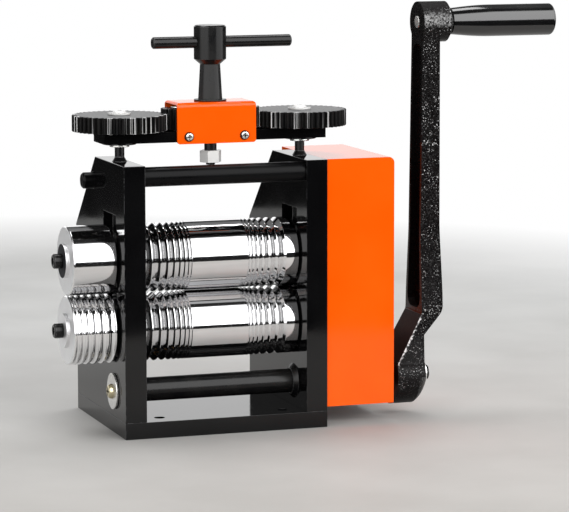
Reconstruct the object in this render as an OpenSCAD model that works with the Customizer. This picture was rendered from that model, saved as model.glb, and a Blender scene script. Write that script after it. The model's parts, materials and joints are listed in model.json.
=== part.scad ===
// Hand cranked rolling mill for jewellers, in millimetres.
// Origin: centre of the base plate's underside. +X towards the crank, +Y to the back, +Z up.
// Every piece is drawn where it stands with the rolls closed and the crank upright.

/* [Frame] */
// Width across the outer faces of the two side plates
frame_w = 140; // [128:1:160]
// Thickness of each side plate
side_t = 14.5; // [13:0.5:17]
// Depth of the base plate, front to back
base_depth = 122; // [112:1:140]
// Thickness of the base plate
base_t = 11; // [8:0.5:13]
// Height of the side plates' top edge
frame_h = 180; // [172:1:200]
// Depth of a side plate along its top edge
top_depth = 71; // [70:1:80]
// Height at which the sloping back edge starts
slant_h = 129; // [115:1:140]
// Diameter of the front tie bar
front_bar_d = 13; // [10:0.5:15]
// Distance of the front tie bar's axis from the front and from the top
front_bar_inset = 8; // [7.5:0.5:12]
// Diameter of the rear tie rod
rear_rod_d = 11; // [8:0.5:12]
// Distance of the rear tie rod behind the top edge's back corner
rear_rod_back = 5.3; // [0:0.1:7]
// Distance of the rear tie rod's axis from the sloping edge, square to it
rear_rod_drop = 7.9; // [7:0.1:12]
// Length of the rear tie rod that stands out of the left plate
rear_rod_out = 8; // [4:0.5:12]

/* [Mounting] */
// Diameter of the four bench mounting holes
mount_hole_d = 7; // [5:0.5:9]
// Distance of the mounting holes from the side plates' inner faces
mount_inset_x = 12.5; // [8:0.5:20]
// Distance of the mounting holes from the front and back edges
mount_inset_y = 14; // [9:0.5:20]
// Diameter of the screws that hold the side plates to the base
base_screw_d = 6; // [5:0.5:7]

/* [Rolls] */
// Diameter of the rolls
roll_d = 46; // [40:1:50]
// Opening between the closed rolls
roll_gap = 0.3; // [0.2:0.1:1]
// Height of the lower roll's axis
lower_axis_z = 69.2; // [67:0.1:74]
// Diameter of the roll journals
journal_d = 20; // [16:0.5:21]
// Room between a roll's end and the side plate
roll_side_gap = 0.5; // [0.3:0.1:1]
// Widths of the wire grooves at the left end, largest first
left_groove_widths = [6, 5.4, 4.8, 4.1, 3.4, 2.8, 2.2, 1.6];
// Widths of the wire grooves at the right end, smallest first
right_groove_widths = [1.6, 2, 2.6, 3.2, 4, 4.8, 5.4];
// Plain land between two grooves
groove_land = 0.5; // [0.3:0.1:0.8]
// Plain land at the right end of the rolls
end_land = 9.4; // [4:0.2:12]
// Chamfer on the rolls' edges
roll_chamfer = 0.8; // [0.4:0.1:1.5]

/* [Extension rolls] */
// Length of the side rolls outside the left plate
side_roll_len = 29.6; // [24:0.2:34]
// Room between a side roll and the plate
side_roll_gap = 0.9; // [0.5:0.1:2]
// Widths of the half round grooves in the lower side roll, from its free end
side_groove_widths = [2.2, 2.8, 3.2, 3.8, 4.4, 4.8];
// Plain land between two half round grooves
side_land = 1.1; // [0.8:0.1:1.3]
// Diameter of the hub on a side roll's free end
side_hub_d = 22.8; // [18:0.2:26]
// Height of that hub
side_hub_h = 2.4; // [1:0.2:4]
// Diameter of the bolt head in the recess
side_bolt_head_d = 9.8; // [8:0.2:12]
// Length of the bolt head that stands out of the hub
side_bolt_out = 6.2; // [3:0.2:8]

/* [Bearings] */
// Width of the bearing windows in the side plates
window_w = 31; // [30:0.5:36]
// Height of each bearing block
block_h = 34; // [30:0.5:36]
// Room above the upper blocks for lifting
lift_room = 13.5; // [10:0.5:15]
// Wall of the bronze bushes
bush_t = 2; // [1.5:0.1:2.5]
// Wire diameter of the lift springs
spring_wire_d = 1.6; // [1:0.1:2]
// Mean diameter of the lift springs
spring_d = 10; // [8:0.5:11]
// Turns of each lift spring
spring_turns = 4; // [3:0.5:5]

/* [Drive] */
// Height of the drive shaft's axis
drive_z = 28; // [27:0.5:31]
// Distance of the drive shaft's axis in front of the rolls' axes
drive_forward = 7.5; // [4:0.5:9]
// Diameter of the drive shaft between the plates
drive_d = 16; // [14:0.5:17]
// Diameter of the drive shaft's outer end
drive_end_d = 14; // [12:0.5:14]
// Diameter of the washer on the left end of the shaft
end_washer_d = 24; // [20:0.5:28]
// Diameter of the right bush's flange
bush_flange_d = 24; // [22:0.5:28]
// Length of that flange's cone
bush_flange_t = 3; // [2:0.5:5]
// Teeth of the two roll gears
roll_gear_teeth = 14; // [12:2:16]
// Teeth of the drive pinion
pinion_teeth = 12; // [11:1:13]
// Teeth of the wheel that the pinion drives
wheel_teeth = 28; // [26:2:30]
// Face width of the roll gears
roll_gear_w = 16; // [12:1:20]
// Face width of the drive pinion and its wheel
drive_gear_w = 16; // [12:1:20]

/* [Gear cover] */
// Front to back depth of the gear cover
cover_d = 92; // [80:1:100]
// Height of the cover's lower edge
cover_bottom = 13.5; // [11:0.5:13.5]
// Distance of the cover behind the frame's front face
cover_setback = 1.5; // [0.5:0.1:2]
// Sheet thickness of the cover
cover_t = 1.5; // [1:0.1:2]
// Outer bend radius of the cover
cover_bend_r = 4; // [3:0.5:8]

/* [Adjusting gears] */
// Teeth of the two adjusting gears
adjust_teeth = 48; // [44:2:50]
// Teeth of the two idler gears
idler_teeth = 17; // [15:2:19]
// Teeth of the handle's pinion
handle_teeth = 18; // [16:2:20]
// Thickness of the adjusting gears
adjust_gear_t = 10.7; // [8:0.1:12]
// Height of the idlers and of the handle's pinion
idler_t = 13.7; // [11:0.1:14]
// Diameter of the adjusting screws in the plates
screw_d = 10; // [8:0.5:11]
// Diameter of the adjusting screws' necks
neck_d = 6.4; // [5.6:0.2:7.4]
// Diameter of the flange under each gear bolt's head
gear_bolt_flange_d = 15.2; // [12:0.2:18]

/* [Bridge] */
// Height of the bridge bar above the side plates
bridge_rise = 12.5; // [10:0.5:18]
// Thickness of the bridge bar
bridge_t = 7; // [6:0.5:9]
// Length of the bridge bar past each screw
bridge_over = 14; // [12:0.5:18]
// Length of the pinion cover
hood_len = 54.5; // [50:0.5:60]
// Height of the pinion cover
hood_h = 27.2; // [26.5:0.1:30]
// Depth of the pinion cover's edge below the bar
hood_lip = 1.3; // [0.5:0.1:2]
// Sheet thickness of the pinion cover
hood_t = 1.5; // [1:0.1:2]
// Distance between the cover's two screws
hood_screw_span = 38.4; // [34:0.2:42]

/* [T handle] */
// Diameter of the handle's head
head_d = 21.4; // [18:0.2:24]
// Height of the handle's head
head_h = 22.4; // [18:0.2:26]
// Height of the tapered column
column_h = 23.2; // [18:0.2:30]
// Diameter of the column at its foot
column_foot_d = 16; // [14:0.2:18]
// Diameter of the column under the head
column_top_d = 13.4; // [12:0.2:13.8]
// Length of the cross bar
bar_len = 96.4; // [80:0.2:120]
// Diameter of the cross bar
bar_d = 7.8; // [6:0.2:10]
// Shift of the cross bar to the right
bar_shift = 8.2; // [0:0.2:12]
// Width across flats of the nut under the bridge
nut_af = 13; // [11:0.5:16]
// Height of that nut
nut_h = 8; // [6:0.5:10]

/* [Crank] */
// Distance from the drive shaft's axis to the grip's axis
crank_r = 240; // [200:5:260]
// Diameter of the crank's hub
hub_d = 40; // [34:1:44]
// Length of the hub's straight part along the shaft
hub_len = 15.5; // [14:0.5:18]
// Diameter of the boss that holds the grip
boss_d = 27.4; // [24:0.2:30]
// Thickness of the arm at the top
arm_top_t = 12.4; // [11:0.2:14]
// Thickness of the arm above the bend
arm_foot_t = 15.4; // [14:0.2:18]
// Width of the arm below the boss
arm_top_w = 21; // [18:0.5:23]
// Width of the arm above the bend
arm_foot_w = 29; // [26:0.5:32]
// Distance from the hub's inner face to the arm's inner face
arm_step = 18.5; // [16:0.5:22]
// Length of the grip
grip_len = 74.5; // [65:0.5:90]
// Largest diameter of the grip
grip_d = 20.8; // [18:0.2:26]
// Diameter of the grip where it meets the crank
grip_neck_d = 16.8; // [14:0.2:17.6]
// Diameter of the grip's spindle
spindle_d = 8; // [6:0.5:9]

/* [Hidden] */
$fn = 96;

// Fits and running clearances
fit = 0.03;
run_clear = 0.05;
slide_clear = 0.1;
rest_gap = 0.2;
over = 1;

// Faces and axes of the frame
front_y = -base_depth / 2;
back_y = base_depth / 2;
plate_x = frame_w / 2;
inner_x = plate_x - side_t;
slope = (frame_h - slant_h) / (base_depth - top_depth);
rear_rod_y = front_y + top_depth + rear_rod_back;
rear_rod_z = frame_h - slope * rear_rod_back - rear_rod_drop * sqrt(1 + slope * slope);
axis_y = front_y + top_depth / 2;
upper_axis_z = lower_axis_z + roll_d + roll_gap;
drive_y = axis_y - drive_forward;
roll_r = roll_d / 2;
journal_r = journal_d / 2;
screw_x = plate_x - side_t / 2;
window_bottom = lower_axis_z - block_h / 2;
window_top = upper_axis_z + block_h / 2 + lift_room;
bar_socket = 5;
bush_r = journal_r + bush_t;
drive_bush_r = drive_d / 2 + bush_t;

// Screws that hold the side plates to the base
base_screw_ledge = 2;
base_screw_head_d = base_screw_d + 2 * base_screw_ledge;
base_screw_head_h = base_screw_d;
base_screw_grip = 12;
base_screw_inset = 10;

// Rolls and what is fixed to their ends
roll_len = 2 * (inner_x - roll_side_gap);
side_roll_x = -plate_x - side_roll_gap - side_roll_len;
side_floor_t = 8;
side_bolt_d = 6;
side_bolt_len = 11;
bolt_room = 1;
socket_floor_x = side_roll_x + side_floor_t;
seat_r = 8.5;
gear_space = 2;
gear_step = 2.5;
roll_gear_x = plate_x + gear_space;
wheel_x = roll_gear_x + roll_gear_w + gear_step;
end_flange_t = 2;
end_flange_r = 12;
end_bolt_d = 6;
end_bolt_len = 14;
end_bolt_head_r = 5;
end_bolt_head_h = 4;
wheel_boss_r = 14;

// Gears that turn the rolls
centres = upper_axis_z - lower_axis_z;
roll_module = centres / roll_gear_teeth;
drive_dy = drive_y - axis_y;
drive_dz = drive_z - lower_axis_z;
drive_centres = sqrt(drive_dy * drive_dy + drive_dz * drive_dz);
drive_angle = atan2(drive_dz, drive_dy);
drive_module = 2 * drive_centres / (pinion_teeth + wheel_teeth);
pressure_angle = 20;
backlash = 0.16;
roll_addendum_share = 1;
drive_addendum_share = 0.82;
dedendum_share = 1.2;
flank_steps = 3;

// Gear cover
cover_room = 4;
cover_w = wheel_x + drive_gear_w + end_flange_t + end_bolt_head_h + cover_room + cover_t - plate_x;
cover_front = front_y + cover_setback;
cover_back = cover_front + cover_d;
cover_x = plate_x + cover_w;
cover_rim = 6;
shaft_room = 1;
pillar_r = 5;
pillar_screw_d = 5;
pillar_inset = 13;
pillar_rise = 14;
pillar_top = [front_y + pillar_inset, frame_h - pillar_inset];
pillar_low = [cover_back - pillar_inset, drive_z + pillar_rise];
cover_screw_head_r = 4.8;
cover_screw_head_h = 2.6;
cover_screw_len = 12;

// Adjusting gears, bridge and handle
adjust_centres = screw_x;
adjust_module = 2 * adjust_centres / (adjust_teeth + 2 * idler_teeth + handle_teeth);
idler_x = adjust_module * (handle_teeth + idler_teeth) / 2;
adjust_addendum_share = 0.95;
handle_gear_r = adjust_module * (handle_teeth / 2 + adjust_addendum_share);
hood_room = 0.5;
bridge_w = 2 * (handle_gear_r + hood_room);
bridge_z = frame_h + bridge_rise;
bridge_top = bridge_z + bridge_t;
gear_lift = 0.8;
gear_z = bridge_top + gear_lift;
gear_top = gear_z + adjust_gear_t;
idler_top = gear_z + idler_t;
disc_r = 11;
disc_t = 1.2;
thrust_r = 6.5;
thrust_t = 1.5;
thrust_z = bridge_z - disc_t - rest_gap / 2 - thrust_t;
screw_r = screw_d / 2;
neck_r = neck_d / 2;
screw_tip_z = upper_axis_z + block_h / 2 + rest_gap;
neck_cone_h = 3;
gear_bolt_r = 2;
gear_bolt_len = 10;
gear_bolt_flange_t = 1.2;
gear_bolt_dome_r = 5;
gear_bolt_dome_h = 1.4;
gear_socket_af = 3.6;
idler_pin_r = 3;
idler_pin_head_r = 5;
idler_pin_head_h = 1;
hood_z = bridge_z - hood_lip;
hood_top = hood_z + hood_h;
hood_bend_r = 3;
hood_corner_r = 2;
hood_screw_r = 1.9;
hood_screw_head_r = 3.2;
hood_screw_head_h = 1.8;
hood_screw_len = 6;
hood_screw_z = bridge_z + bridge_t / 2;
handle_shaft_r = 3;
handle_journal_r = 5;
handle_washer_r = 10.8;
handle_washer_t = 1;
spacer_r = 4.1;
spacer_len = 7;
spacer_z = bridge_z - rest_gap / 2 - spacer_len;
thread_end = 1.6;
column_z = hood_top + handle_washer_t + rest_gap / 2;
flare_h = 3.4;
head_z = column_z + column_h + flare_h;
head_chamfer = 1;
bar_z = head_z + head_h / 2;
bar_chamfer = 0.8;

// Crank and grip
hub_gap = 6;
hub_x = cover_x + hub_gap;
hub_r = hub_d / 2;
dome_len = 8.1;
dome_r = 11;
dome_steps = 6;
dome_bulge = 1.2;
hub_end_x = hub_x + hub_len + dome_len;
crank_washer_r = 8;
crank_washer_t = 2;
crank_bolt_head_r = 5;
crank_bolt_head_h = 2.6;
crank_bolt_d = 6;
crank_bolt_len = 18;
boss_r = boss_d / 2;
boss_len = 19.6;
boss_neck_r = grip_neck_d / 2;
boss_cone_len = 3.6;
arm_x = hub_x + arm_step;
arm_lean = 1.8;
grip_z = drive_z + crank_r;
boss_x = arm_x + arm_lean;
grip_x = boss_x + boss_len + boss_cone_len + rest_gap;
arm_foot_z = drive_z + 58;
arm_waist_z = drive_z + 104;
bend_low_z = drive_z + 8.4;
bend_high_z = drive_z + 43;
step_low_z = drive_z + 28.5;
step_high_z = drive_z + 44.4;
arm_low_out = 4.5;
bend_r = 5;
elbow_r = 10;
step_r = 1.5;
pocket_rim = 2.6;
web_t = 6;
pocket_land = 1;
pocket_top_z = grip_z - boss_r - pocket_land;
pocket_low_z = drive_z + 46;
grip_swell_share = 0.38;
grip_end_r = 2;
grip_wall = 12;

// Sum of the first n entries of a list
function total(list, n) = n <= 0 ? 0 : list[n - 1] + total(list, n - 1);

// Rounds the corners of an outline whose points are [x, y, radius]
function unit(v) = v / norm(v);
function flat(p) = [p[0], p[1]];
function turn(a) = a > 180 ? a - 360 : (a < -180 ? a + 360 : a);
function corner(a, b, c, r, steps) =
    let (u = unit(a - b), v = unit(c - b), half = acos(u * v) / 2)
    let (centre = b + unit(u + v) * r / sin(half))
    let (p = b + u * r / tan(half) - centre, q = b + v * r / tan(half) - centre)
    let (start = atan2(p[1], p[0]), sweep = turn(atan2(q[1], q[0]) - start))
    [for (k = [0:steps]) centre + r * [cos(start + sweep * k / steps), sin(start + sweep * k / steps)]];
function rounded(points, steps = 6) =
    let (n = len(points))
    [for (i = [0:n - 1], p = points[i][2] == 0 ? [flat(points[i])] :
        corner(flat(points[(i + n - 1) % n]), flat(points[i]), flat(points[(i + 1) % n]),
            points[i][2], steps)) p];

// Involute gear outline: module m, n teeth, addendum share a
function involute(angle) = tan(angle) * 180 / PI - angle;
function base_circle(m, n) = m * n / 2 * cos(pressure_angle);
function half_tooth(m, n, r) =
    let (pitch_r = m * n / 2, rb = base_circle(m, n))
    90 / n - backlash / pitch_r * 90 / PI + involute(pressure_angle) - involute(acos(min(1, rb / r)));
function flank(m, n, a) =
    let (root_r = m * (n / 2 - dedendum_share), tip_r = m * (n / 2 + a), rb = base_circle(m, n))
    let (start_r = max(root_r, rb))
    concat(root_r < rb ? [[root_r, half_tooth(m, n, rb)]] : [],
        [for (k = [0:flank_steps]) let (r = start_r + (tip_r - start_r) * k / flank_steps)
            [r, half_tooth(m, n, r)]]);
function gear_outline(m, n, a) =
    let (side = flank(m, n, a), last = len(side) - 1)
    [for (i = [0:n - 1], k = [0:2 * last + 1])
        let (p = k <= last ? side[k] : side[2 * last + 1 - k], sign = k <= last ? -1 : 1)
        let (angle = 360 * i / n + sign * p[1]) p[0] * [cos(angle), sin(angle)]];

// Outline of V grooves cut into a radius r, as [radius, place] points from place start
function v_grooves(widths, start, r) =
    [for (i = [0:len(widths) - 1], k = [0:2])
        let (w = widths[i], x = start + total(widths, i) + i * groove_land)
        k == 1 ? [r - w / 2, x + w / 2] : [r, x + k * w / 2]];
function grooves_len(widths, land) = total(widths, len(widths)) + (len(widths) - 1) * land;

// Half round grooves cut into a radius r, a little shallower than half their width
half_round_share = 0.36;
half_round_steps = 6;
function round_groove(w, x, r) =
    let (depth = w * half_round_share, bow = (w * w / 4 + depth * depth) / (2 * depth))
    let (reach = asin(w / 2 / bow))
    [for (k = [0:half_round_steps]) let (a = reach * (2 * k / half_round_steps - 1))
        [r + (bow - depth) - bow * cos(a), x + w / 2 + bow * sin(a)]];
function round_grooves(widths, start, r) =
    [for (i = [0:len(widths) - 1],
        p = round_groove(widths[i], start + total(widths, i) + i * side_land, r)) p];

// Turns a shape drawn along Z so that it lies along X, with its own X towards Y
module lay_x(x, y, z) {
    translate([x, y, z]) rotate([90, 0, 90]) children();
}

module rod_x(x, y, z, r, length) {
    lay_x(x, y, z) cylinder(r = r, h = length);
}

module rod_z(x, y, z, r, length) {
    translate([x, y, z]) cylinder(r = r, h = length);
}

module hex_z(z, af, h) {
    translate([0, 0, z]) cylinder(r = af / 2 / cos(30), h = h, $fn = 6);
}

module gear(m, n, a, thick, bore_r, phase) {
    difference() {
        rotate([0, 0, phase]) linear_extrude(height = thick) polygon(gear_outline(m, n, a));
        translate([0, 0, -over]) cylinder(r = bore_r, h = thick + 2 * over);
    }
}

// A screw along Z with its head's underside at zero and its shank pointing down
module cap_screw(shank_r, shank_len, head_r, head_h, socket_af) {
    difference() {
        union() {
            translate([0, 0, -shank_len]) cylinder(r = shank_r, h = shank_len);
            cylinder(r = head_r, h = head_h);
        }
        hex_z(head_h / 2, socket_af, head_h);
    }
}

// Places its children at both ends of the four-hole pattern
module four(dx, dy) {
    for (x = [-dx, dx], y = [-dy, dy]) translate([x, y, 0]) children();
}

mount_x = inner_x - mount_inset_x;
mount_y = back_y - mount_inset_y;
base_screw_y = back_y - base_screw_inset;

module base_plate() {
    color([0.05, 0.05, 0.05]) difference() {
        translate([-plate_x, front_y, 0]) cube([frame_w, base_depth, base_t]);
        four(mount_x, mount_y) translate([0, 0, -over]) cylinder(d = mount_hole_d, h = base_t + 2 * over);
        four(screw_x, base_screw_y) {
            translate([0, 0, -over]) cylinder(r = base_screw_d / 2 + fit, h = base_t + 2 * over);
            translate([0, 0, -over]) cylinder(r = base_screw_head_d / 2 + fit, h = base_screw_head_h + over);
        }
    }
}

module base_screws() {
    color("silver") four(screw_x, base_screw_y) translate([0, 0, base_screw_head_h]) rotate([180, 0, 0])
        cap_screw(base_screw_d / 2, base_t - base_screw_head_h + base_screw_grip, base_screw_head_d / 2,
            base_screw_head_h, base_screw_d);
}

plate_outline = [
    [front_y, base_t], [front_y, frame_h], [front_y + top_depth, frame_h], [back_y, slant_h],
    [back_y, base_t]
];

// Side plate with its outer face at x, its thickness running towards +X
module side_plate(x, socket_x) {
    color([0.05, 0.05, 0.05]) difference() {
        lay_x(x, 0, 0) linear_extrude(height = side_t) polygon(plate_outline);
        translate([x - over, axis_y - window_w / 2, window_bottom])
            cube([side_t + 2 * over, window_w, window_top - window_bottom]);
        rod_x(x - over, drive_y, drive_z, drive_bush_r + fit, side_t + 2 * over);
        rod_x(x - over, rear_rod_y, rear_rod_z, rear_rod_d / 2 + fit,
            side_t + 2 * over);
        rod_x(socket_x, front_y + front_bar_inset, frame_h - front_bar_inset,
            front_bar_d / 2 - bar_shoulder + fit,
            bar_socket + over);
        rod_z(x + side_t / 2, axis_y, window_top - over, screw_r + run_clear,
            frame_h - window_top + 2 * over);
        for (y = [-base_screw_y, base_screw_y])
            rod_z(x + side_t / 2, y, base_t - over, base_screw_d / 2 + fit, base_screw_grip + 2 * over);
    }
}
bar_shoulder = 2;

module left_side_plate() {
    side_plate(-plate_x, -inner_x - bar_socket);
}

module right_side_plate() {
    difference() {
        side_plate(inner_x, inner_x - over);
        color([0.05, 0.05, 0.05]) for (p = [pillar_top, pillar_low])
            rod_x(plate_x - pillar_spigot - over / 2, p[0], p[1], pillar_screw_d / 2 + fit,
                pillar_spigot + over);
    }
}
pillar_spigot = 8;

module front_tie_bar() {
    color([0.05, 0.05, 0.05]) union() {
        rod_x(-inner_x, front_y + front_bar_inset, frame_h - front_bar_inset, front_bar_d / 2, 2 * inner_x);
        rod_x(-inner_x - bar_socket, front_y + front_bar_inset, frame_h - front_bar_inset,
            front_bar_d / 2 - bar_shoulder, 2 * (inner_x + bar_socket));
    }
}

rod_chamfer = 1.2;
module rear_tie_rod() {
    rod_r = rear_rod_d / 2;
    length = frame_w + rear_rod_out;
    color([0.06, 0.06, 0.06]) lay_x(-plate_x - rear_rod_out, rear_rod_y, rear_rod_z)
        rotate_extrude() polygon([
            [0, 0], [rod_r - rod_chamfer, 0], [rod_r, rod_chamfer], [rod_r, length], [0, length]
        ]);
}

// Bearing block with its inner face towards the rolls and its bush bore at height z
module bearing_block(x, z) {
    color([0.18, 0.18, 0.19]) difference() {
        translate([x, axis_y - window_w / 2 + slide_clear, z - block_h / 2])
            cube([side_t, window_w - 2 * slide_clear, block_h]);
        rod_x(x - over, axis_y, z, bush_r + fit, side_t + 2 * over);
    }
}

module bush(x, y, z, outer_r, bore_r) {
    color([0.72, 0.53, 0.25]) difference() {
        rod_x(x, y, z, outer_r, side_t);
        rod_x(x - over, y, z, bore_r + run_clear, side_t + 2 * over);
    }
}

module lower_left_block() {
    bearing_block(-plate_x, lower_axis_z);
}

module lower_right_block() {
    bearing_block(inner_x, lower_axis_z);
}

module upper_left_block() {
    bearing_block(-plate_x, upper_axis_z);
}

module upper_right_block() {
    bearing_block(inner_x, upper_axis_z);
}

module lower_bushes() {
    bush(-plate_x, axis_y, lower_axis_z, bush_r, journal_r);
    bush(inner_x, axis_y, lower_axis_z, bush_r, journal_r);
}

module upper_bushes() {
    bush(-plate_x, axis_y, upper_axis_z, bush_r, journal_r);
    bush(inner_x, axis_y, upper_axis_z, bush_r, journal_r);
}

// Coil spring standing on z, as one swept tube
spring_rings_per_turn = 14;
spring_sides = 6;
module coil_spring(x, y, z, height) {
    wire_r = spring_wire_d / 2;
    rings = round(spring_turns * spring_rings_per_turn);
    rise = height - spring_wire_d - rest_gap;
    middles = [for (i = [0:rings]) let (t = 360 * spring_turns * i / rings)
        [spring_d / 2 * cos(t), spring_d / 2 * sin(t), rise * i / rings]];
    half_turn = round(spring_rings_per_turn / 2);
    least = min([for (i = [0:rings - half_turn], j = [i + half_turn:rings]) norm(middles[i] - middles[j])]);
    echo(least_gap_between_turns = least - spring_wire_d);
    points = [for (i = [0:rings], k = [0:spring_sides - 1])
        let (t = 360 * spring_turns * i / rings, a = 360 * k / spring_sides)
        let (r = spring_d / 2 + wire_r * cos(a))
        [r * cos(t), r * sin(t), rest_gap / 2 + wire_r + rise * i / rings + wire_r * sin(a)]];
    walls = [for (i = [0:rings - 1], k = [0:spring_sides - 1], half = [0, 1])
        let (a = i * spring_sides + k, b = i * spring_sides + (k + 1) % spring_sides)
        half == 0 ? [a, b, b + spring_sides] : [a, b + spring_sides, a + spring_sides]];
    foot = [for (k = [1:spring_sides - 2]) [0, k + 1, k]];
    top = [for (k = [1:spring_sides - 2]) rings * spring_sides * [1, 1, 1] + [0, k, k + 1]];
    translate([x, y, z]) polyhedron(points = points, faces = concat(walls, foot, top));
}

module lift_springs() {
    room = upper_axis_z - lower_axis_z - block_h;
    color([0.7, 0.7, 0.72]) for (x = [-screw_x, screw_x])
        coil_spring(x, axis_y, lower_axis_z + block_h / 2, room);
}

module left_drive_bush() {
    bush(-plate_x, drive_y, drive_z, drive_bush_r, drive_d / 2);
}

module right_drive_bush() {
    flange_r = bush_flange_d / 2;
    bore_r = drive_d / 2 + run_clear;
    color([0.12, 0.12, 0.12]) lay_x(inner_x, drive_y, drive_z) rotate_extrude() polygon([
        [bore_r, -bush_flange_t], [drive_bush_r - bush_t / 2, -bush_flange_t], [flange_r, 0],
        [drive_bush_r, 0], [drive_bush_r, side_t], [bore_r, side_t]
    ]);
}

// Open-bottomed sheet box, bent round along its upper right edge, with a rim against the plate
module cover_section(w, h, r) {
    square([w - r, h]);
    square([w, h - r]);
    translate([w - r, h - r]) circle(r = r);
}

module cover_prism(x, y, z, w, d, h, r) {
    translate([x, y + d, z]) rotate([90, 0, 0]) linear_extrude(height = d) cover_section(w, h, r);
}

module gear_cover() {
    height = frame_h - cover_bottom;
    rim_outline = [
        [front_y + cover_rim, cover_bottom - over], [front_y + cover_rim, frame_h - cover_rim],
        [front_y + top_depth - cover_rim, frame_h - cover_rim],
        [cover_back - cover_rim, slant_at(cover_back) - cover_rim],
        [cover_back - cover_rim, cover_bottom - over]
    ];
    color([1, 0.38, 0.02]) difference() {
        cover_prism(plate_x, cover_front, cover_bottom, cover_w, cover_d, height, cover_bend_r);
        cover_prism(plate_x + cover_t, cover_front + cover_t, cover_bottom - over, cover_w - 2 * cover_t,
            cover_d - 2 * cover_t, height + over - cover_t, cover_bend_r - cover_t);
        lay_x(plate_x - over, 0, 0) linear_extrude(height = cover_t + 2 * over) polygon(rim_outline);
        rod_x(cover_x - cover_t - over, drive_y, drive_z, drive_end_d / 2 + shaft_room, cover_t + 2 * over);
        for (p = [pillar_top, pillar_low])
            rod_x(cover_x - cover_t - over, p[0], p[1], pillar_screw_d / 2 + fit, cover_t + 2 * over);
    }
}

// Height of the side plates' sloping back edge at depth y
function slant_at(y) = frame_h - slope * (y - front_y - top_depth);

module cover_pillars() {
    length = cover_w - cover_t;
    color("silver") for (p = [pillar_top, pillar_low]) difference() {
        union() {
            rod_x(plate_x, p[0], p[1], pillar_r, length);
            rod_x(plate_x - pillar_spigot, p[0], p[1], pillar_screw_d / 2, pillar_spigot + over);
        }
        rod_x(plate_x + length - cover_screw_len, p[0], p[1], pillar_screw_d / 2 + fit,
            cover_screw_len + over);
    }
}

module cover_screws() {
    color("silver") for (p = [pillar_top, pillar_low]) lay_x(cover_x, p[0], p[1])
        cap_screw(pillar_screw_d / 2, cover_screw_len, cover_screw_head_r, cover_screw_head_h,
            pillar_screw_d / 2);
}

// Roll with its journals, from x = left to x = right, with blind bolt holes in both ends
module roll(z, left, right) {
    barrel = roll_len / 2;
    left_start = -barrel + roll_chamfer + groove_land;
    right_start = barrel - end_land - grooves_len(right_groove_widths, groove_land);
    color([0.85, 0.85, 0.87]) difference() {
        lay_x(0, axis_y, z) rotate_extrude() polygon(concat(
            [[0, left], [journal_r, left], [journal_r, -barrel], [roll_r - roll_chamfer, -barrel],
                [roll_r, -barrel + roll_chamfer]],
            v_grooves(left_groove_widths, left_start, roll_r),
            v_grooves(right_groove_widths, right_start, roll_r),
            [[roll_r, barrel - roll_chamfer], [roll_r - roll_chamfer, barrel], [journal_r, barrel],
                [journal_r, roll_gear_x], [seat_r, roll_gear_x], [seat_r, right],
                [0, right]]
        ));
        rod_x(left - over, axis_y, z, side_bolt_d / 2 + fit, side_bolt_len + bolt_room + over);
        rod_x(right - end_bolt_len - over, axis_y, z, end_bolt_d / 2 + fit, end_bolt_len + 2 * over);
    }
}

module upper_roll() {
    roll(upper_axis_z, socket_floor_x, roll_gear_x + roll_gear_w);
}

module lower_roll() {
    roll(lower_axis_z, socket_floor_x, wheel_x + drive_gear_w);
}

// Side roll, bored to go over the journal, with a raised hub under its bolt's head
module side_roll(z, grooves) {
    far = side_roll_len;
    hub_edge_r = side_hub_d / 2;
    color([0.85, 0.85, 0.87]) lay_x(side_roll_x, axis_y, z) rotate_extrude() polygon(concat(
        [[side_bolt_d / 2 + fit, -side_hub_h], [hub_edge_r, -side_hub_h], [hub_edge_r, 0],
            [roll_r - roll_chamfer, 0], [roll_r, roll_chamfer]],
        grooves,
        [[roll_r, far - roll_chamfer], [roll_r - roll_chamfer, far], [journal_r + fit, far],
            [journal_r + fit, side_floor_t], [side_bolt_d / 2 + fit, side_floor_t]]
    ));
}

module upper_side_roll() {
    side_roll(upper_axis_z, []);
}

module lower_side_roll() {
    side_roll(lower_axis_z, round_grooves(side_groove_widths, roll_chamfer + side_land / 2, roll_r));
}

bolt_edge = 0.8;
module side_bolt(z) {
    head_r = side_bolt_head_d / 2;
    shank = side_hub_h + side_floor_t + side_bolt_len;
    color([0.06, 0.06, 0.06]) lay_x(side_roll_x - side_hub_h - side_bolt_out, axis_y, z) difference() {
        rotate_extrude() polygon([
            [0, 0], [head_r - bolt_edge, 0], [head_r, bolt_edge], [head_r, side_bolt_out],
            [side_bolt_d / 2, side_bolt_out], [side_bolt_d / 2, side_bolt_out + shank],
            [0, side_bolt_out + shank]
        ]);
        hex_z(-over, side_bolt_d * socket_share, side_bolt_out / 2 + over);
    }
}
socket_share = 0.84;

module upper_side_bolt() {
    side_bolt(upper_axis_z);
}

module lower_side_bolt() {
    side_bolt(lower_axis_z);
}

module upper_roll_gear() {
    color([0.45, 0.45, 0.47]) lay_x(roll_gear_x, axis_y, upper_axis_z)
        gear(roll_module, roll_gear_teeth, roll_addendum_share, roll_gear_w, seat_r + fit,
            90 + 180 / roll_gear_teeth);
}

module lower_roll_gear() {
    color([0.45, 0.45, 0.47]) lay_x(roll_gear_x, axis_y, lower_axis_z)
        gear(roll_module, roll_gear_teeth, roll_addendum_share, roll_gear_w, seat_r + fit, 90);
}

module drive_wheel() {
    color([0.45, 0.45, 0.47]) {
        lay_x(wheel_x, axis_y, lower_axis_z)
            gear(drive_module, wheel_teeth, drive_addendum_share, drive_gear_w, seat_r + fit, drive_angle);
        lay_x(wheel_x - gear_step, axis_y, lower_axis_z) difference() {
            cylinder(r = wheel_boss_r, h = gear_step);
            translate([0, 0, -over]) cylinder(r = seat_r + fit, h = gear_step + 2 * over);
        }
    }
}

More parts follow.
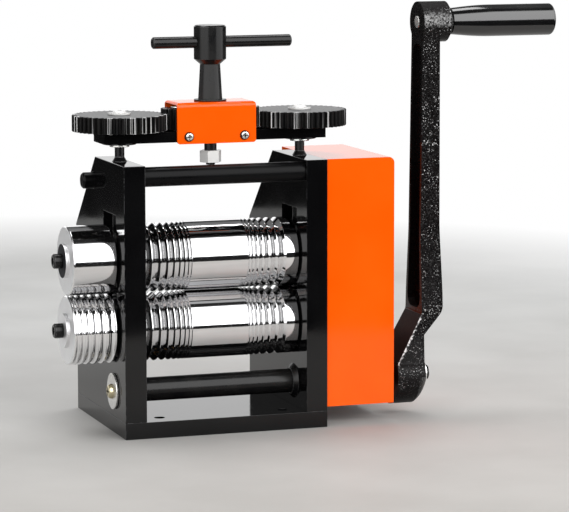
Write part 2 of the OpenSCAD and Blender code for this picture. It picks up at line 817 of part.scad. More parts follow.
module drive_pinion() {
    color([0.45, 0.45, 0.47]) lay_x(wheel_x, drive_y, drive_z)
        gear(drive_module, pinion_teeth, drive_addendum_share, drive_gear_w, drive_end_d / 2 + fit,
            drive_angle + 180 + 180 / pinion_teeth);
}

// Flanged bolt that holds a gear on the end of its shaft
module gear_end_bolt(x, z) {
    color([0.3, 0.3, 0.32]) lay_x(x, axis_y, z) difference() {
        union() {
            translate([0, 0, -end_bolt_len]) cylinder(r = end_bolt_d / 2, h = end_bolt_len + over);
            cylinder(r = end_flange_r, h = end_flange_t);
            cylinder(r = end_bolt_head_r, h = end_flange_t + end_bolt_head_h);
        }
        hex_z(end_flange_t + end_bolt_head_h / 2, end_bolt_d * socket_share, end_bolt_head_h);
    }
}

module upper_gear_bolt() {
    gear_end_bolt(roll_gear_x + roll_gear_w, upper_axis_z);
}

module lower_gear_bolt() {
    gear_end_bolt(wheel_x + drive_gear_w, lower_axis_z);
}

end_screw_d = 5;
end_screw_len = 14;
end_screw_head_r = 5;
end_screw_head_h = 2.8;
end_washer_t = 1.5;
module drive_shaft() {
    left = -plate_x - rest_gap;
    color([0.1, 0.1, 0.1]) difference() {
        union() {
            rod_x(left, drive_y, drive_z, drive_d / 2, wheel_x - left);
            rod_x(wheel_x - over, drive_y, drive_z, drive_end_d / 2, hub_end_x - wheel_x + over);
        }
        rod_x(left - over, drive_y, drive_z, end_screw_d / 2 + fit, end_screw_len + 2 * over);
        rod_x(hub_end_x - crank_bolt_len - over, drive_y, drive_z, crank_bolt_d / 2 + fit,
            crank_bolt_len + 2 * over);
    }
}

module shaft_end_washer() {
    color("silver") difference() {
        rod_x(-plate_x - rest_gap - end_washer_t, drive_y, drive_z, end_washer_d / 2, end_washer_t);
        rod_x(-plate_x - rest_gap - end_washer_t - over, drive_y, drive_z, end_screw_d / 2 + fit,
            end_washer_t + 2 * over);
    }
}

// Pan head screw: a domed head with a cross recess
cross_w = 1.1;
cross_len = 5.4;
module shaft_end_screw() {
    color("silver") translate([-plate_x - rest_gap - end_washer_t, drive_y, drive_z]) rotate([0, -90, 0])
        difference() {
            union() {
                translate([0, 0, -end_screw_len]) cylinder(r = end_screw_d / 2, h = end_screw_len + over);
                pan_head(end_screw_head_r, end_screw_head_h);
            }
            cross_recess(end_screw_head_h, cross_len, cross_w);
        }
}

pan_share = 0.45;
module pan_head(r, h) {
    rotate_extrude() polygon(concat([[0, 0], [r, 0]],
        [for (k = [0:5]) [r - (1 - cos(18 * k)) * r * pan_share, h * sin(18 * k)]], [[0, h]]));
}

module cross_recess(h, length, w) {
    for (a = [0, 90]) rotate([0, 0, a]) translate([-length / 2, -w / 2, h / 2])
        cube([length, w, h]);
}

// Front outline of the crank, [across the frame, up, corner radius]
module crank_front() {
    arm_right = arm_x + arm_lean + arm_top_t;
    foot_right = arm_x + arm_foot_t;
    low_right = hub_x + hub_len + arm_low_out;
    polygon(rounded([
        [hub_x, drive_z - hub_r - over, 0],
        [hub_x, bend_low_z, bend_r],
        [arm_x, bend_high_z, bend_r],
        [arm_x, arm_foot_z, 0],
        [boss_x, grip_z - boss_r, 0],
        [boss_x, grip_z + boss_r + over, 0],
        [arm_right, grip_z + boss_r + over, 0],
        [arm_right, arm_waist_z, 0],
        [foot_right, arm_foot_z, 0],
        [foot_right, step_high_z, elbow_r],
        [low_right, step_low_z, step_r],
        [low_right, drive_z, 0],
        [hub_x + hub_len, drive_z, 0],
        [hub_x + hub_len, drive_z - hub_r - over, 0]
    ]));
}

// Side outline of the crank: round hub, tapering arm and round boss
arm_root_share = 0.86;
module crank_side() {
    translate([drive_y, drive_z]) circle(r = hub_r);
    translate([drive_y, grip_z]) circle(r = boss_r);
    polygon([for (s = [-1, 1], p = s < 0 ? crank_edge() : [for (i = [3:-1:0]) crank_edge()[i]])
        [drive_y + s * p[0], p[1]]]);
}
function crank_edge() = [
    [hub_r * arm_root_share, drive_z + hub_r * sqrt(1 - arm_root_share * arm_root_share)],
    [arm_foot_w / 2, arm_foot_z],
    [arm_mid_w / 2, arm_mid_z],
    [arm_top_w / 2, grip_z]
];
arm_mid_share = 0.22;
arm_mid_w = arm_top_w + (arm_foot_w - arm_top_w) * arm_mid_share;
arm_mid_z = arm_foot_z + (grip_z - arm_foot_z) * arm_mid_share;

// Long hollow in each broad face of the arm
module pocket(x, depth) {
    foot = arm_foot_w / 2 - pocket_rim;
    middle = arm_mid_w / 2 - pocket_rim;
    upper = arm_top_w / 2 - pocket_rim;
    end_r = upper * pocket_end_share;
    lay_x(x, drive_y, 0) linear_extrude(height = depth) polygon(rounded([
        [-foot, pocket_low_z, end_r], [-middle, arm_mid_z, 0], [-upper, pocket_top_z, end_r],
        [upper, pocket_top_z, end_r], [middle, arm_mid_z, 0], [foot, pocket_low_z, end_r]
    ]));
}
pocket_end_share = 0.9;

module crank_arm() {
    web_x = arm_x + arm_lean + arm_top_t / 2 - web_t / 2;
    color([0.06, 0.06, 0.06]) difference() {
        union() {
            intersection() {
                translate([0, drive_y + hub_d, 0]) rotate([90, 0, 0]) linear_extrude(height = 2 * hub_d)
                    crank_front();
                lay_x(hub_x, 0, 0) linear_extrude(height = arm_step + arm_foot_t + hub_len) crank_side();
            }
            lay_x(hub_x + hub_len - over, drive_y, drive_z) rotate_extrude() polygon([
                [0, 0], [hub_r, 0],
                for (k = [0:dome_steps]) let (s = k / dome_steps)
                    [hub_r + (dome_r - hub_r) * s + dome_bulge * sin(180 * s), over + dome_len * s],
                [0, over + dome_len]
            ]);
            lay_x(boss_x, drive_y, grip_z) rotate_extrude() polygon([
                [0, 0], [boss_r, 0], [boss_r, boss_len], [boss_neck_r, boss_len + boss_cone_len],
                [0, boss_len + boss_cone_len]
            ]);
        }
        pocket(hub_x, web_x - hub_x);
        pocket(web_x + web_t, arm_foot_t);
        rod_x(hub_x - over, drive_y, drive_z, drive_end_d / 2 + fit, hub_end_x - hub_x + 2 * over);
        rod_x(boss_x - over, drive_y, grip_z, spindle_d / 2 + fit, boss_len + boss_cone_len + 2 * over);
    }
}

module crank_washer() {
    color("silver") difference() {
        rod_x(hub_end_x, drive_y, drive_z, crank_washer_r, crank_washer_t);
        rod_x(hub_end_x - over, drive_y, drive_z, crank_bolt_d / 2 + fit, crank_washer_t + 2 * over);
    }
}

module crank_bolt() {
    color([0.1, 0.1, 0.1]) lay_x(hub_end_x + crank_washer_t, drive_y, drive_z)
        cap_screw(crank_bolt_d / 2, crank_bolt_len, crank_bolt_head_r, crank_bolt_head_h,
            crank_bolt_d * socket_share);
}

module grip_spindle() {
    color("silver") rod_x(boss_x - over / 2, drive_y, grip_z, spindle_d / 2,
        grip_x - boss_x + grip_len - grip_wall - rest_gap);
}

module crank_grip() {
    neck_r = grip_neck_d / 2;
    full_r = grip_d / 2;
    bore_r = spindle_d / 2 + run_clear;
    swell = grip_len * grip_swell_share;
    color([0.04, 0.04, 0.04]) lay_x(grip_x, drive_y, grip_z) rotate_extrude() polygon(concat(
        [[bore_r, 0], [neck_r, 0]],
        [for (k = [0:8]) [neck_r + (full_r - neck_r) * sin(90 * k / 8), swell * k / 8 + bolt_edge]],
        [for (k = [0:8]) [full_r - grip_end_r * (1 - cos(90 * k / 8)),
            grip_len - grip_end_r * (1 - sin(90 * k / 8)) * grip_end_share]],
        [[0, grip_len], [0, grip_len - grip_wall], [bore_r, grip_len - grip_wall]]
    ));
}
grip_end_share = 1;

module bridge_bar() {
    color([0.05, 0.05, 0.05]) difference() {
        translate([-screw_x - bridge_over, axis_y - bridge_w / 2, bridge_z])
            cube([2 * (screw_x + bridge_over), bridge_w, bridge_t]);
        for (x = [-screw_x, screw_x])
            rod_z(x, axis_y, bridge_z - over, neck_r + run_clear, bridge_t + 2 * over);
        for (x = [-idler_x, idler_x])
            rod_z(x, axis_y, bridge_z - over, idler_pin_r + fit, bridge_t + 2 * over);
        rod_z(0, axis_y, bridge_z - over, handle_shaft_r + run_clear, bridge_t + 2 * over);
        hood_screw_places() translate([0, 0, -hood_screw_len - over])
            cylinder(r = hood_screw_r + fit, h = hood_screw_len + 2 * over);
    }
}

// Puts its children at the four screws, with their Z axis pointing out of the hood
module hood_screw_places() {
    for (x = [-hood_screw_span / 2, hood_screw_span / 2], s = [-1, 1])
        translate([x, axis_y + s * bridge_w / 2, hood_screw_z]) rotate([-90 * s, 0, 0]) children();
}

module bridge_discs() {
    color([0.05, 0.05, 0.05]) for (x = [-screw_x, screw_x]) difference() {
        rod_z(x, axis_y, bridge_z - disc_t, disc_r, disc_t);
        rod_z(x, axis_y, bridge_z - disc_t - over, neck_r + rest_gap, disc_t + 2 * over);
    }
}

// Folded sheet hood: open at both ends, its flaps rounded at the corners
module hood_section(w, h, r) {
    translate([-w / 2, 0]) square([w, h - r]);
    translate([-w / 2 + r, 0]) square([w - 2 * r, h]);
    for (x = [-w / 2 + r, w / 2 - r]) translate([x, h - r]) circle(r = r);
}

module pinion_cover() {
    depth = bridge_w + 2 * hood_t;
    color([1, 0.38, 0.02]) difference() {
        intersection() {
            lay_x(-hood_len / 2, axis_y, hood_z) linear_extrude(height = hood_len)
                hood_section(depth, hood_h, hood_bend_r);
            translate([-hood_len / 2, axis_y + depth / 2 + over, hood_z]) rotate([90, 0, 0])
                linear_extrude(height = depth + 2 * over) polygon(rounded([
                    [0, 0, hood_corner_r], [hood_len, 0, hood_corner_r], [hood_len, hood_h, hood_corner_r],
                    [0, hood_h, hood_corner_r]
                ]));
        }
        lay_x(-hood_len / 2 - over, axis_y, hood_z - over) linear_extrude(height = hood_len + 2 * over)
            hood_section(bridge_w, hood_h + over - hood_t, hood_bend_r - hood_t);
        rod_z(0, axis_y, hood_top - hood_t - over, handle_journal_r + run_clear, hood_t + 2 * over);
        hood_screw_places() translate([0, 0, -over]) cylinder(r = hood_screw_r + fit, h = hood_t + 2 * over);
    }
}

hood_cross_w = 0.8;
hood_cross_len = 3.6;
module pinion_cover_screws() {
    color("silver") hood_screw_places() translate([0, 0, hood_t]) difference() {
        union() {
            translate([0, 0, -hood_screw_len]) cylinder(r = hood_screw_r, h = hood_screw_len + over);
            pan_head(hood_screw_head_r, hood_screw_head_h);
        }
        cross_recess(hood_screw_head_h, hood_cross_len, hood_cross_w);
    }
}

module idler_pins() {
    color([0.5, 0.5, 0.52]) for (x = [-idler_x, idler_x]) {
        rod_z(x, axis_y, bridge_z, idler_pin_r, idler_top + rest_gap - bridge_z + idler_pin_head_h / 2);
        rod_z(x, axis_y, idler_top + rest_gap, idler_pin_head_r, idler_pin_head_h);
    }
}

module t_handle_column() {
    foot_r = column_foot_d / 2;
    top_r = column_top_d / 2;
    head_r = head_d / 2;
    low = spacer_z - nut_h - thread_end;
    color([0.09, 0.09, 0.09]) difference() {
        translate([0, axis_y, 0]) rotate_extrude() polygon([
            [0, low], [handle_shaft_r, low], [handle_shaft_r, bridge_top + rest_gap],
            [handle_journal_r, bridge_top + rest_gap], [handle_journal_r, column_z], [foot_r, column_z],
            [top_r, column_z + column_h], [head_r, head_z], [head_r, head_z + head_h - head_chamfer],
            [head_r - head_chamfer, head_z + head_h], [0, head_z + head_h]
        ]);
        rod_x(-head_d, axis_y, bar_z, bar_d / 2 + fit, 2 * head_d);
    }
}

module t_handle_bar() {
    r = bar_d / 2;
    color([0.09, 0.09, 0.09]) lay_x(bar_shift - bar_len / 2, axis_y, bar_z) rotate_extrude() polygon([
        [0, 0], [r - bar_chamfer, 0], [r, bar_chamfer], [r, bar_len - bar_chamfer],
        [r - bar_chamfer, bar_len], [0, bar_len]
    ]);
}

module ring_z(x, z, outer_r, bore_r, thick) {
    difference() {
        rod_z(x, axis_y, z, outer_r, thick);
        rod_z(x, axis_y, z - over, bore_r, thick + 2 * over);
    }
}

module handle_washer() {
    color([0.1, 0.1, 0.1])
        ring_z(0, column_z - handle_washer_t, handle_washer_r, handle_journal_r + fit, handle_washer_t);
}

module handle_pinion() {
    color([0.4, 0.4, 0.42]) translate([0, axis_y, gear_z])
        gear(adjust_module, handle_teeth, adjust_addendum_share, idler_t, handle_journal_r + fit, 0);
}

module handle_spacer() {
    color([0.14, 0.12, 0.11]) ring_z(0, spacer_z, spacer_r, handle_shaft_r + fit, spacer_len);
}

module handle_nut() {
    color("silver") difference() {
        translate([0, axis_y, 0]) hex_z(spacer_z - nut_h, nut_af, nut_h);
        rod_z(0, axis_y, spacer_z - nut_h - over, handle_shaft_r + fit, nut_h + 2 * over);
    }
}

module idler_gear(x, phase) {
    color([0.4, 0.4, 0.42]) translate([x, axis_y, gear_z])
        gear(adjust_module, idler_teeth, adjust_addendum_share, idler_t, idler_pin_r + run_clear, phase);
}

module left_idler_gear() {
    idler_gear(-idler_x, 180);
}

module right_idler_gear() {
    idler_gear(idler_x, 0);
}

// Adjusting screw: thread in the plate, cone, neck through the bridge and the gear
module adjusting_screw(x) {
    color([0.08, 0.08, 0.08]) difference() {
        translate([x, axis_y, 0]) rotate_extrude() polygon([
            [0, screw_tip_z], [screw_r - rod_chamfer, screw_tip_z], [screw_r, screw_tip_z + rod_chamfer],
            [screw_r, frame_h], [neck_r, frame_h + neck_cone_h], [neck_r, gear_top - rest_gap],
            [0, gear_top - rest_gap]
        ]);
        rod_z(x, axis_y, gear_top - gear_bolt_len - over, gear_bolt_r + fit, gear_bolt_len + 2 * over);
    }
}

module adjusting_gear(x) {
    color([0.16, 0.16, 0.17]) translate([x, axis_y, gear_z])
        gear(adjust_module, adjust_teeth, adjust_addendum_share, adjust_gear_t, neck_r + fit,
            180 / adjust_teeth);
}

// Button head bolt with a broad flange and a hexagon socket
module gear_bolt(x) {
    color("silver") translate([x, axis_y, gear_top]) difference() {
        union() {
            translate([0, 0, -gear_bolt_len]) cylinder(r = gear_bolt_r, h = gear_bolt_len + over);
            cylinder(r = gear_bolt_flange_d / 2, h = gear_bolt_flange_t);
            pan_head(gear_bolt_dome_r, gear_bolt_flange_t + gear_bolt_dome_h);
        }
        hex_z(gear_bolt_flange_t, gear_socket_af, 2 * gear_bolt_dome_h);
    }
}

module thrust_washer(x) {
    color("silver") ring_z(x, thrust_z, thrust_r, neck_r + fit, thrust_t);
}

module left_adjusting_screw() {
    adjusting_screw(-screw_x);
}

module right_adjusting_screw() {
    adjusting_screw(screw_x);
}

module left_adjusting_gear() {
    adjusting_gear(-screw_x);
}

module right_adjusting_gear() {
    adjusting_gear(screw_x);
}

module left_gear_bolt() {
    gear_bolt(-screw_x);
}

module right_gear_bolt() {
    gear_bolt(screw_x);
}

module left_thrust_washer() {
    thrust_washer(-screw_x);
}

module right_thrust_washer() {
    thrust_washer(screw_x);
}

base_plate();
base_screws();
left_side_plate();
right_side_plate();
front_tie_bar();
rear_tie_rod();
lower_left_block();
lower_right_block();
lower_bushes();
lift_springs();
left_drive_bush();
right_drive_bush();
gear_cover();
cover_pillars();
cover_screws();
upper_left_block();
upper_right_block();
upper_bushes();
upper_roll();
upper_side_roll();
upper_side_bolt();
upper_roll_gear();
upper_gear_bolt();
lower_roll();
lower_side_roll();
lower_side_bolt();
lower_roll_gear();
drive_wheel();
lower_gear_bolt();
drive_shaft();
drive_pinion();
shaft_end_washer();
shaft_end_screw();
crank_arm();
crank_washer();
crank_bolt();
grip_spindle();
crank_grip();
bridge_bar();
bridge_discs();
pinion_cover();
pinion_cover_screws();
idler_pins();
t_handle_column();
t_handle_bar();
handle_washer();
handle_pinion();
handle_spacer();
handle_nut();
left_idler_gear();
right_idler_gear();
left_adjusting_screw();
left_adjusting_gear();
left_gear_bolt();
left_thrust_washer();
right_adjusting_screw();
right_adjusting_gear();
right_gear_bolt();
right_thrust_washer();
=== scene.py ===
import bmesh
import bpy
import json
import math
from mathutils import Matrix, Vector


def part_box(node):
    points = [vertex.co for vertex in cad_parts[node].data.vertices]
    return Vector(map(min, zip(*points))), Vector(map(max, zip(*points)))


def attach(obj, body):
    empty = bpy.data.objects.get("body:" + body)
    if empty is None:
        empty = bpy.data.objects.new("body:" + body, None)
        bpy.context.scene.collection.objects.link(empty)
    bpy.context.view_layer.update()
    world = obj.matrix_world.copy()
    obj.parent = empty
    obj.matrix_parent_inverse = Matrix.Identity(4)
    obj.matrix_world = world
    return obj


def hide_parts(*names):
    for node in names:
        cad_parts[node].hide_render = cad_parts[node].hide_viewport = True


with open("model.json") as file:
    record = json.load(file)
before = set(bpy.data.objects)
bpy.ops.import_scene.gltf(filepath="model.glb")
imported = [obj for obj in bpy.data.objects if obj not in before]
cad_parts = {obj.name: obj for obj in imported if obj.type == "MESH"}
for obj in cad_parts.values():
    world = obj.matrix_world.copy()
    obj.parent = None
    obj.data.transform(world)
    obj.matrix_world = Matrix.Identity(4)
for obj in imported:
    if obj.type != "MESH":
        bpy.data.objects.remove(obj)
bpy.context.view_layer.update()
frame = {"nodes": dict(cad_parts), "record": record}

# Camera: stands left of the mill and a little above it, looking slightly down.
# The picture is 569 by 512, cut from a wider one, so the lens is shifted a little.
image_width = 569
image_height = 512
yaw = math.radians(18.2015)
pitch = math.radians(7.5018)
roll = math.radians(-0.1767)
focal_pixels = 2926.9
centre_pixel = (248.42, 241.59)
camera_place = Vector((-0.58175, -1.87505, 0.37908))
camera_data = bpy.data.cameras.new("camera")
camera = bpy.data.objects.new("camera", camera_data)
bpy.context.scene.collection.objects.link(camera)
bpy.context.scene.camera = camera
camera_data.sensor_width = 36.0
camera_data.lens = focal_pixels * camera_data.sensor_width / image_width
camera_data.shift_x = (image_width / 2 - centre_pixel[0]) / image_width
camera_data.shift_y = (centre_pixel[1] - image_height / 2) / image_width
camera_data.clip_end = 50.0
ahead = Vector((math.sin(yaw) * math.cos(pitch), math.cos(yaw) * math.cos(pitch), -math.sin(pitch)))
level_right = Vector((math.cos(yaw), -math.sin(yaw), 0))
level_up = level_right.cross(ahead)
right = math.cos(roll) * level_right + math.sin(roll) * level_up
up = -math.sin(roll) * level_right + math.cos(roll) * level_up
camera_axes = Matrix((right, up, -ahead)).transposed().to_4x4()
camera.matrix_world = Matrix.Translation(camera_place) @ camera_axes

# Base plate: 11 mm flat bar with four bench holes, ground flat and sprayed gloss black.
# The paint has a faint orange peel, smudges in its gloss, and is thinner along the edges.
# Here and below, edges and the sizes of pieces are in millimetres, places in a finish in metres.
slot_of = {part["node"]: part["material_slot"] for part in frame["record"]["subparts"]}
mm_per_metre = 1000
weld_distance = 0.000002
flat_within = 0.6
machined_corner = 28
face_area_weight = 80
paint_black = (0.003, 0.003, 0.0033)
clean_black = (0.002, 0.002, 0.0023)
smudged_black = (0.004, 0.004, 0.0043)
dust_grey = (0.015, 0.015, 0.015)
thin_paint_grey = (0.05, 0.05, 0.052)
orange_peel = 0.00001
smudge_patches = (0.35, 0.7)
dust_scale = 1900
dust_specks = (0.74, 0.8)
chip_reach = 0.72
chip_softness = 0.1


def feed(tree, value, socket):
    if isinstance(value, tuple):
        socket.default_value = (*value, 1)
    elif isinstance(value, (int, float)):
        socket.default_value = value
    else:
        tree.links.new(value, socket)


def blank_finish(name, colour, metallic, roughness, specular=0.5):
    material = bpy.data.materials.new(name)
    material.use_nodes = True
    tree = material.node_tree
    shader = tree.nodes["Principled BSDF"]
    feed(tree, colour, shader.inputs["Base Color"])
    feed(tree, metallic, shader.inputs["Metallic"])
    feed(tree, roughness, shader.inputs["Roughness"])
    feed(tree, specular, shader.inputs["Specular IOR Level"])
    return material, tree, shader


def new_group(name, takes, gives):
    group = bpy.data.node_groups.new(name, "ShaderNodeTree")
    for socket, value in takes:
        made = group.interface.new_socket(socket, in_out="INPUT", socket_type="NodeSocketFloat")
        made.default_value = value
    for socket in gives:
        group.interface.new_socket(socket, in_out="OUTPUT", socket_type="NodeSocketFloat")
    return group, group.nodes.new("NodeGroupInput"), group.nodes.new("NodeGroupOutput")


def place_group(tree, group, **values):
    node = tree.nodes.new("ShaderNodeGroup")
    node.node_tree = group
    for socket, value in values.items():
        feed(tree, value, node.inputs[socket.replace("_", " ")])
    return node


def sum_node(tree, kind, *terms):
    node = tree.nodes.new("ShaderNodeMath")
    node.operation = kind
    for socket, term in zip(node.inputs, terms):
        feed(tree, term, socket)
    return node.outputs[0]


def product(tree, share, *others):
    for other in others:
        share = sum_node(tree, "MULTIPLY", share, other)
    return share


def spread(tree, value, low, high, to_low=0, to_high=1):
    node = tree.nodes.new("ShaderNodeMapRange")
    sockets = ("Value", "From Min", "From Max", "To Min", "To Max")
    for socket, part in zip(sockets, (value, low, high, to_low, to_high)):
        feed(tree, part, node.inputs[socket])
    return node.outputs["Result"]


def between(tree, share, low, high):
    return spread(tree, share, 0, 1, low, high)


def speckle(tree, scale, detail, stretch=(1, 1, 1)):
    place = tree.nodes.new("ShaderNodeTexCoord")
    pull = tree.nodes.new("ShaderNodeMapping")
    noise = tree.nodes.new("ShaderNodeTexNoise")
    pull.inputs["Scale"].default_value = stretch
    feed(tree, detail, noise.inputs["Detail"])
    feed(tree, scale, noise.inputs["Scale"])
    feed(tree, place.outputs["Object"], pull.inputs["Vector"])
    feed(tree, pull.outputs["Vector"], noise.inputs["Vector"])
    return noise.outputs["Fac"]


def face_mark(tree, mark):
    node = tree.nodes.new("ShaderNodeAttribute")
    node.attribute_name = mark
    return node.outputs["Fac"]


def blend_colours(tree, share, first, second):
    node = tree.nodes.new("ShaderNodeMix")
    node.data_type = "RGBA"
    colour_a, colour_b, mixed_colour = node.inputs[6], node.inputs[7], node.outputs[2]
    feed(tree, share, node.inputs["Factor"])
    feed(tree, first, colour_a)
    feed(tree, second, colour_b)
    return mixed_colour


def dress(tree, shader, colour, roughness):
    feed(tree, colour, shader.inputs["Base Color"])
    feed(tree, roughness, shader.inputs["Roughness"])


def emboss(tree, shader, height, distance, strength):
    node = tree.nodes.new("ShaderNodeBump")
    feed(tree, strength, node.inputs["Strength"])
    feed(tree, distance, node.inputs["Distance"])
    feed(tree, height, node.inputs["Height"])
    feed(tree, node.outputs["Normal"], shader.inputs["Normal"])


paint_skin, takes, gives = new_group("paint skin", [("Peel scale", 420), ("Smudge scale", 26)],
    ["Height", "Smudge", "Dust"])
peel = speckle(paint_skin, takes.outputs["Peel scale"], detail=2)
smudge = speckle(paint_skin, takes.outputs["Smudge scale"], detail=6)
dust = speckle(paint_skin, dust_scale, detail=2)
feed(paint_skin, peel, gives.inputs["Height"])
feed(paint_skin, spread(paint_skin, smudge, *smudge_patches), gives.inputs["Smudge"])
feed(paint_skin, spread(paint_skin, dust, *dust_specks), gives.inputs["Dust"])

edge_wear, takes, gives = new_group("edge wear", [("Amount", 0.5), ("Chip scale", 300)], ["Worn"])
chips = speckle(edge_wear, takes.outputs["Chip scale"], detail=4)
reach = sum_node(edge_wear, "SUBTRACT", 1, takes.outputs["Amount"])
chips_start = sum_node(edge_wear, "MULTIPLY", reach, chip_reach)
chips_full = sum_node(edge_wear, "MULTIPLY_ADD", reach, chip_reach, chip_softness)
chipped = spread(edge_wear, chips, chips_start, chips_full)
feed(edge_wear, product(edge_wear, chipped, face_mark(edge_wear, "edge")), gives.inputs["Worn"])


def sprayed_black(name, smoothest, roughest, specular):
    paint, tree, shader = blank_finish(name, paint_black, metallic=0, roughness=smoothest,
        specular=specular)
    skin = place_group(tree, paint_skin, Peel_scale=420, Smudge_scale=24)
    wear = place_group(tree, edge_wear, Amount=0.3, Chip_scale=260)
    tone = blend_colours(tree, skin.outputs["Smudge"], clean_black, smudged_black)
    tone = blend_colours(tree, skin.outputs["Dust"], tone, dust_grey)
    tone = blend_colours(tree, wear.outputs["Worn"], tone, thin_paint_grey)
    dress(tree, shader, tone, between(tree, skin.outputs["Smudge"], smoothest, roughest))
    emboss(tree, shader, skin.outputs["Height"], distance=orange_peel, strength=0.35)
    return paint


finishes = {"frame_paint":
    sprayed_black("gloss black paint", smoothest=0.05, roughest=0.09, specular=0.45)}


def soften_edges(mesh_in_work, width, steps, from_angle):
    layer = mesh_in_work.faces.layers.float.new("edge")
    sharp = [edge for edge in mesh_in_work.edges
        if len(edge.link_faces) == 2 and edge.calc_face_angle(0) > math.radians(from_angle)]
    made = bmesh.ops.bevel(mesh_in_work, geom=sharp, offset=width, offset_type="OFFSET",
        segments=steps, profile=0.5, affect="EDGES", clamp_overlap=True, loop_slide=False)
    for face in mesh_in_work.faces:
        face.smooth = True
    for face in made["faces"]:
        face[layer] = 1.0


def put_together(name, mesh_in_work, body, nodes, finish):
    mesh = bpy.data.meshes.new(name)
    mesh_in_work.to_mesh(mesh)
    mesh_in_work.free()
    piece = bpy.data.objects.new(name, mesh)
    bpy.context.scene.collection.objects.link(piece)
    mesh.materials.append(finish)
    level = piece.modifiers.new("true faces", "WEIGHTED_NORMAL")
    level.weight = face_area_weight
    level.keep_sharp = False
    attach(piece, body)
    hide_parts(*nodes)
    return piece


def machined(node, body, edge, steps=2, finish=None):
    solid = frame["nodes"][node].data
    work = bmesh.new()
    work.from_mesh(solid)
    bmesh.ops.remove_doubles(work, verts=work.verts, dist=weld_distance)
    bmesh.ops.dissolve_limit(work, angle_limit=math.radians(flat_within),
        use_dissolve_boundaries=False, verts=work.verts, edges=work.edges)
    soften_edges(work, edge / mm_per_metre, steps, machined_corner)
    return put_together(node + "_finished", work, body, [node], finish or finishes[slot_of[node]])


def marked(piece, mark, share_at):
    shares = piece.data.attributes.new(mark, "FLOAT", "FACE").data
    for face in piece.data.polygons:
        shares[face.index].value = share_at(face.center * mm_per_metre)


machined("base_plate", "frame", edge=0.6, steps=3)

# Side plates: 14.5 mm plate, sawn to shape, with the window for the bearing blocks milled through.
# They stand on the base plate and carry the same gloss black paint.
machined("left_side_plate", "frame", edge=0.5, steps=3)
machined("right_side_plate", "frame", edge=0.5, steps=3)

# Tie bars: turned steel rods that hold the side plates apart, in a duller black than the frame.
# The front one is shouldered between the plates, the rear one goes through both.
satin_black = sprayed_black("satin black paint", smoothest=0.26, roughest=0.38, specular=0.1)
for bar in ("front_tie_bar", "rear_tie_rod"):
    machined(bar, "frame", edge=0.3, finish=satin_black)

# Base screws: zinc plated socket screws, driven up through the base into the side plates.
# The same bright plating is on most of the mill's other small fasteners.
fresh_plating = (0.92, 0.92, 0.91)
dulled_plating = (0.8, 0.79, 0.76)
yellow_zinc = (0.62, 0.55, 0.36)
recess_shade_colour = (0.012, 0.011, 0.01)
white_zinc_loss = -0.75
plating_metallic = 0.85
bright_steel, tree, shader = blank_finish("bright plated steel", (0.78, 0.78, 0.77), metallic=1,
    roughness=0.16)
skin = place_group(tree, paint_skin, Peel_scale=900, Smudge_scale=60)
tone = blend_colours(tree, skin.outputs["Smudge"], fresh_plating, dulled_plating)
tone = blend_colours(tree, face_mark(tree, "yellow zinc"), tone, yellow_zinc)
# Painted shade: faces marked for it, in screw recesses and below screw crowns, are coloured near
# black.
tone = blend_colours(tree, face_mark(tree, "recess shade"), tone, recess_shade_colour)
dress(tree, shader, tone, between(tree, skin.outputs["Smudge"], 0.16, 0.28))
feed(tree, sum_node(tree, "MULTIPLY_ADD", face_mark(tree, "white zinc"), white_zinc_loss,
    plating_metallic), shader.inputs["Metallic"])
emboss(tree, shader, skin.outputs["Height"], distance=0.00001, strength=0.3)
finishes["bright_steel"] = bright_steel
machined("base_screws", "frame", edge=0.25)

# Bearing blocks: four cast iron blocks that slide in the windows, milled on their faces.
# The lower pair rests on the window's sill, the upper pair is pushed down by the screws.
fresh_iron = (0.26, 0.26, 0.26)
stained_iron = (0.14, 0.135, 0.13)
line_contrast = (0.3, 0.7)
block_iron, tree, shader = blank_finish("milled cast iron", (0.2, 0.2, 0.2), metallic=1,
    roughness=0.42)
skin = place_group(tree, paint_skin, Peel_scale=1500, Smudge_scale=220)
mill_marks = speckle(tree, scale=90, detail=4, stretch=(1, 14, 1))
tone = blend_colours(tree, skin.outputs["Smudge"], fresh_iron, stained_iron)
dress(tree, shader, tone, spread(tree, mill_marks, *line_contrast, 0.32, 0.55))
emboss(tree, shader, mill_marks, distance=0.00005, strength=0.4)
finishes["block_iron"] = block_iron
for block in ("lower_left_block", "lower_right_block"):
    machined(block, "frame", edge=0.4)
for block in ("upper_left_block", "upper_right_block"):
    machined(block, "carriage", edge=0.4)

# Bushes: turned bronze sleeves pressed into the blocks and into the left plate for the drive shaft.
# The lathe's tool has left fine rings along them.
fresh_bronze = (0.55, 0.34, 0.15)
brown_bronze = (0.42, 0.24, 0.09)


def axes_of(tree, kind):
    place = tree.nodes.new("ShaderNodeTexCoord")
    split = tree.nodes.new("ShaderNodeSeparateXYZ")
    feed(tree, place.outputs[kind], split.inputs["Vector"])
    return split.outputs


turning_lines, takes, gives = new_group("turning lines", [("Per metre", 6000)],
    ["Height", "Streak"])
along = axes_of(turning_lines, "Object")["X"]
rings_cut = turning_lines.nodes.new("ShaderNodeTexNoise")
rings_cut.noise_dimensions = "1D"
feed(turning_lines, 1, rings_cut.inputs["Scale"])
feed(turning_lines, 3, rings_cut.inputs["Detail"])
rings_along = product(turning_lines, along, takes.outputs["Per metre"])
feed(turning_lines, rings_along, rings_cut.inputs["W"])
feed(turning_lines, rings_cut.outputs["Fac"], gives.inputs["Height"])
feed(turning_lines, spread(turning_lines, rings_cut.outputs["Fac"], *line_contrast),
    gives.inputs["Streak"])

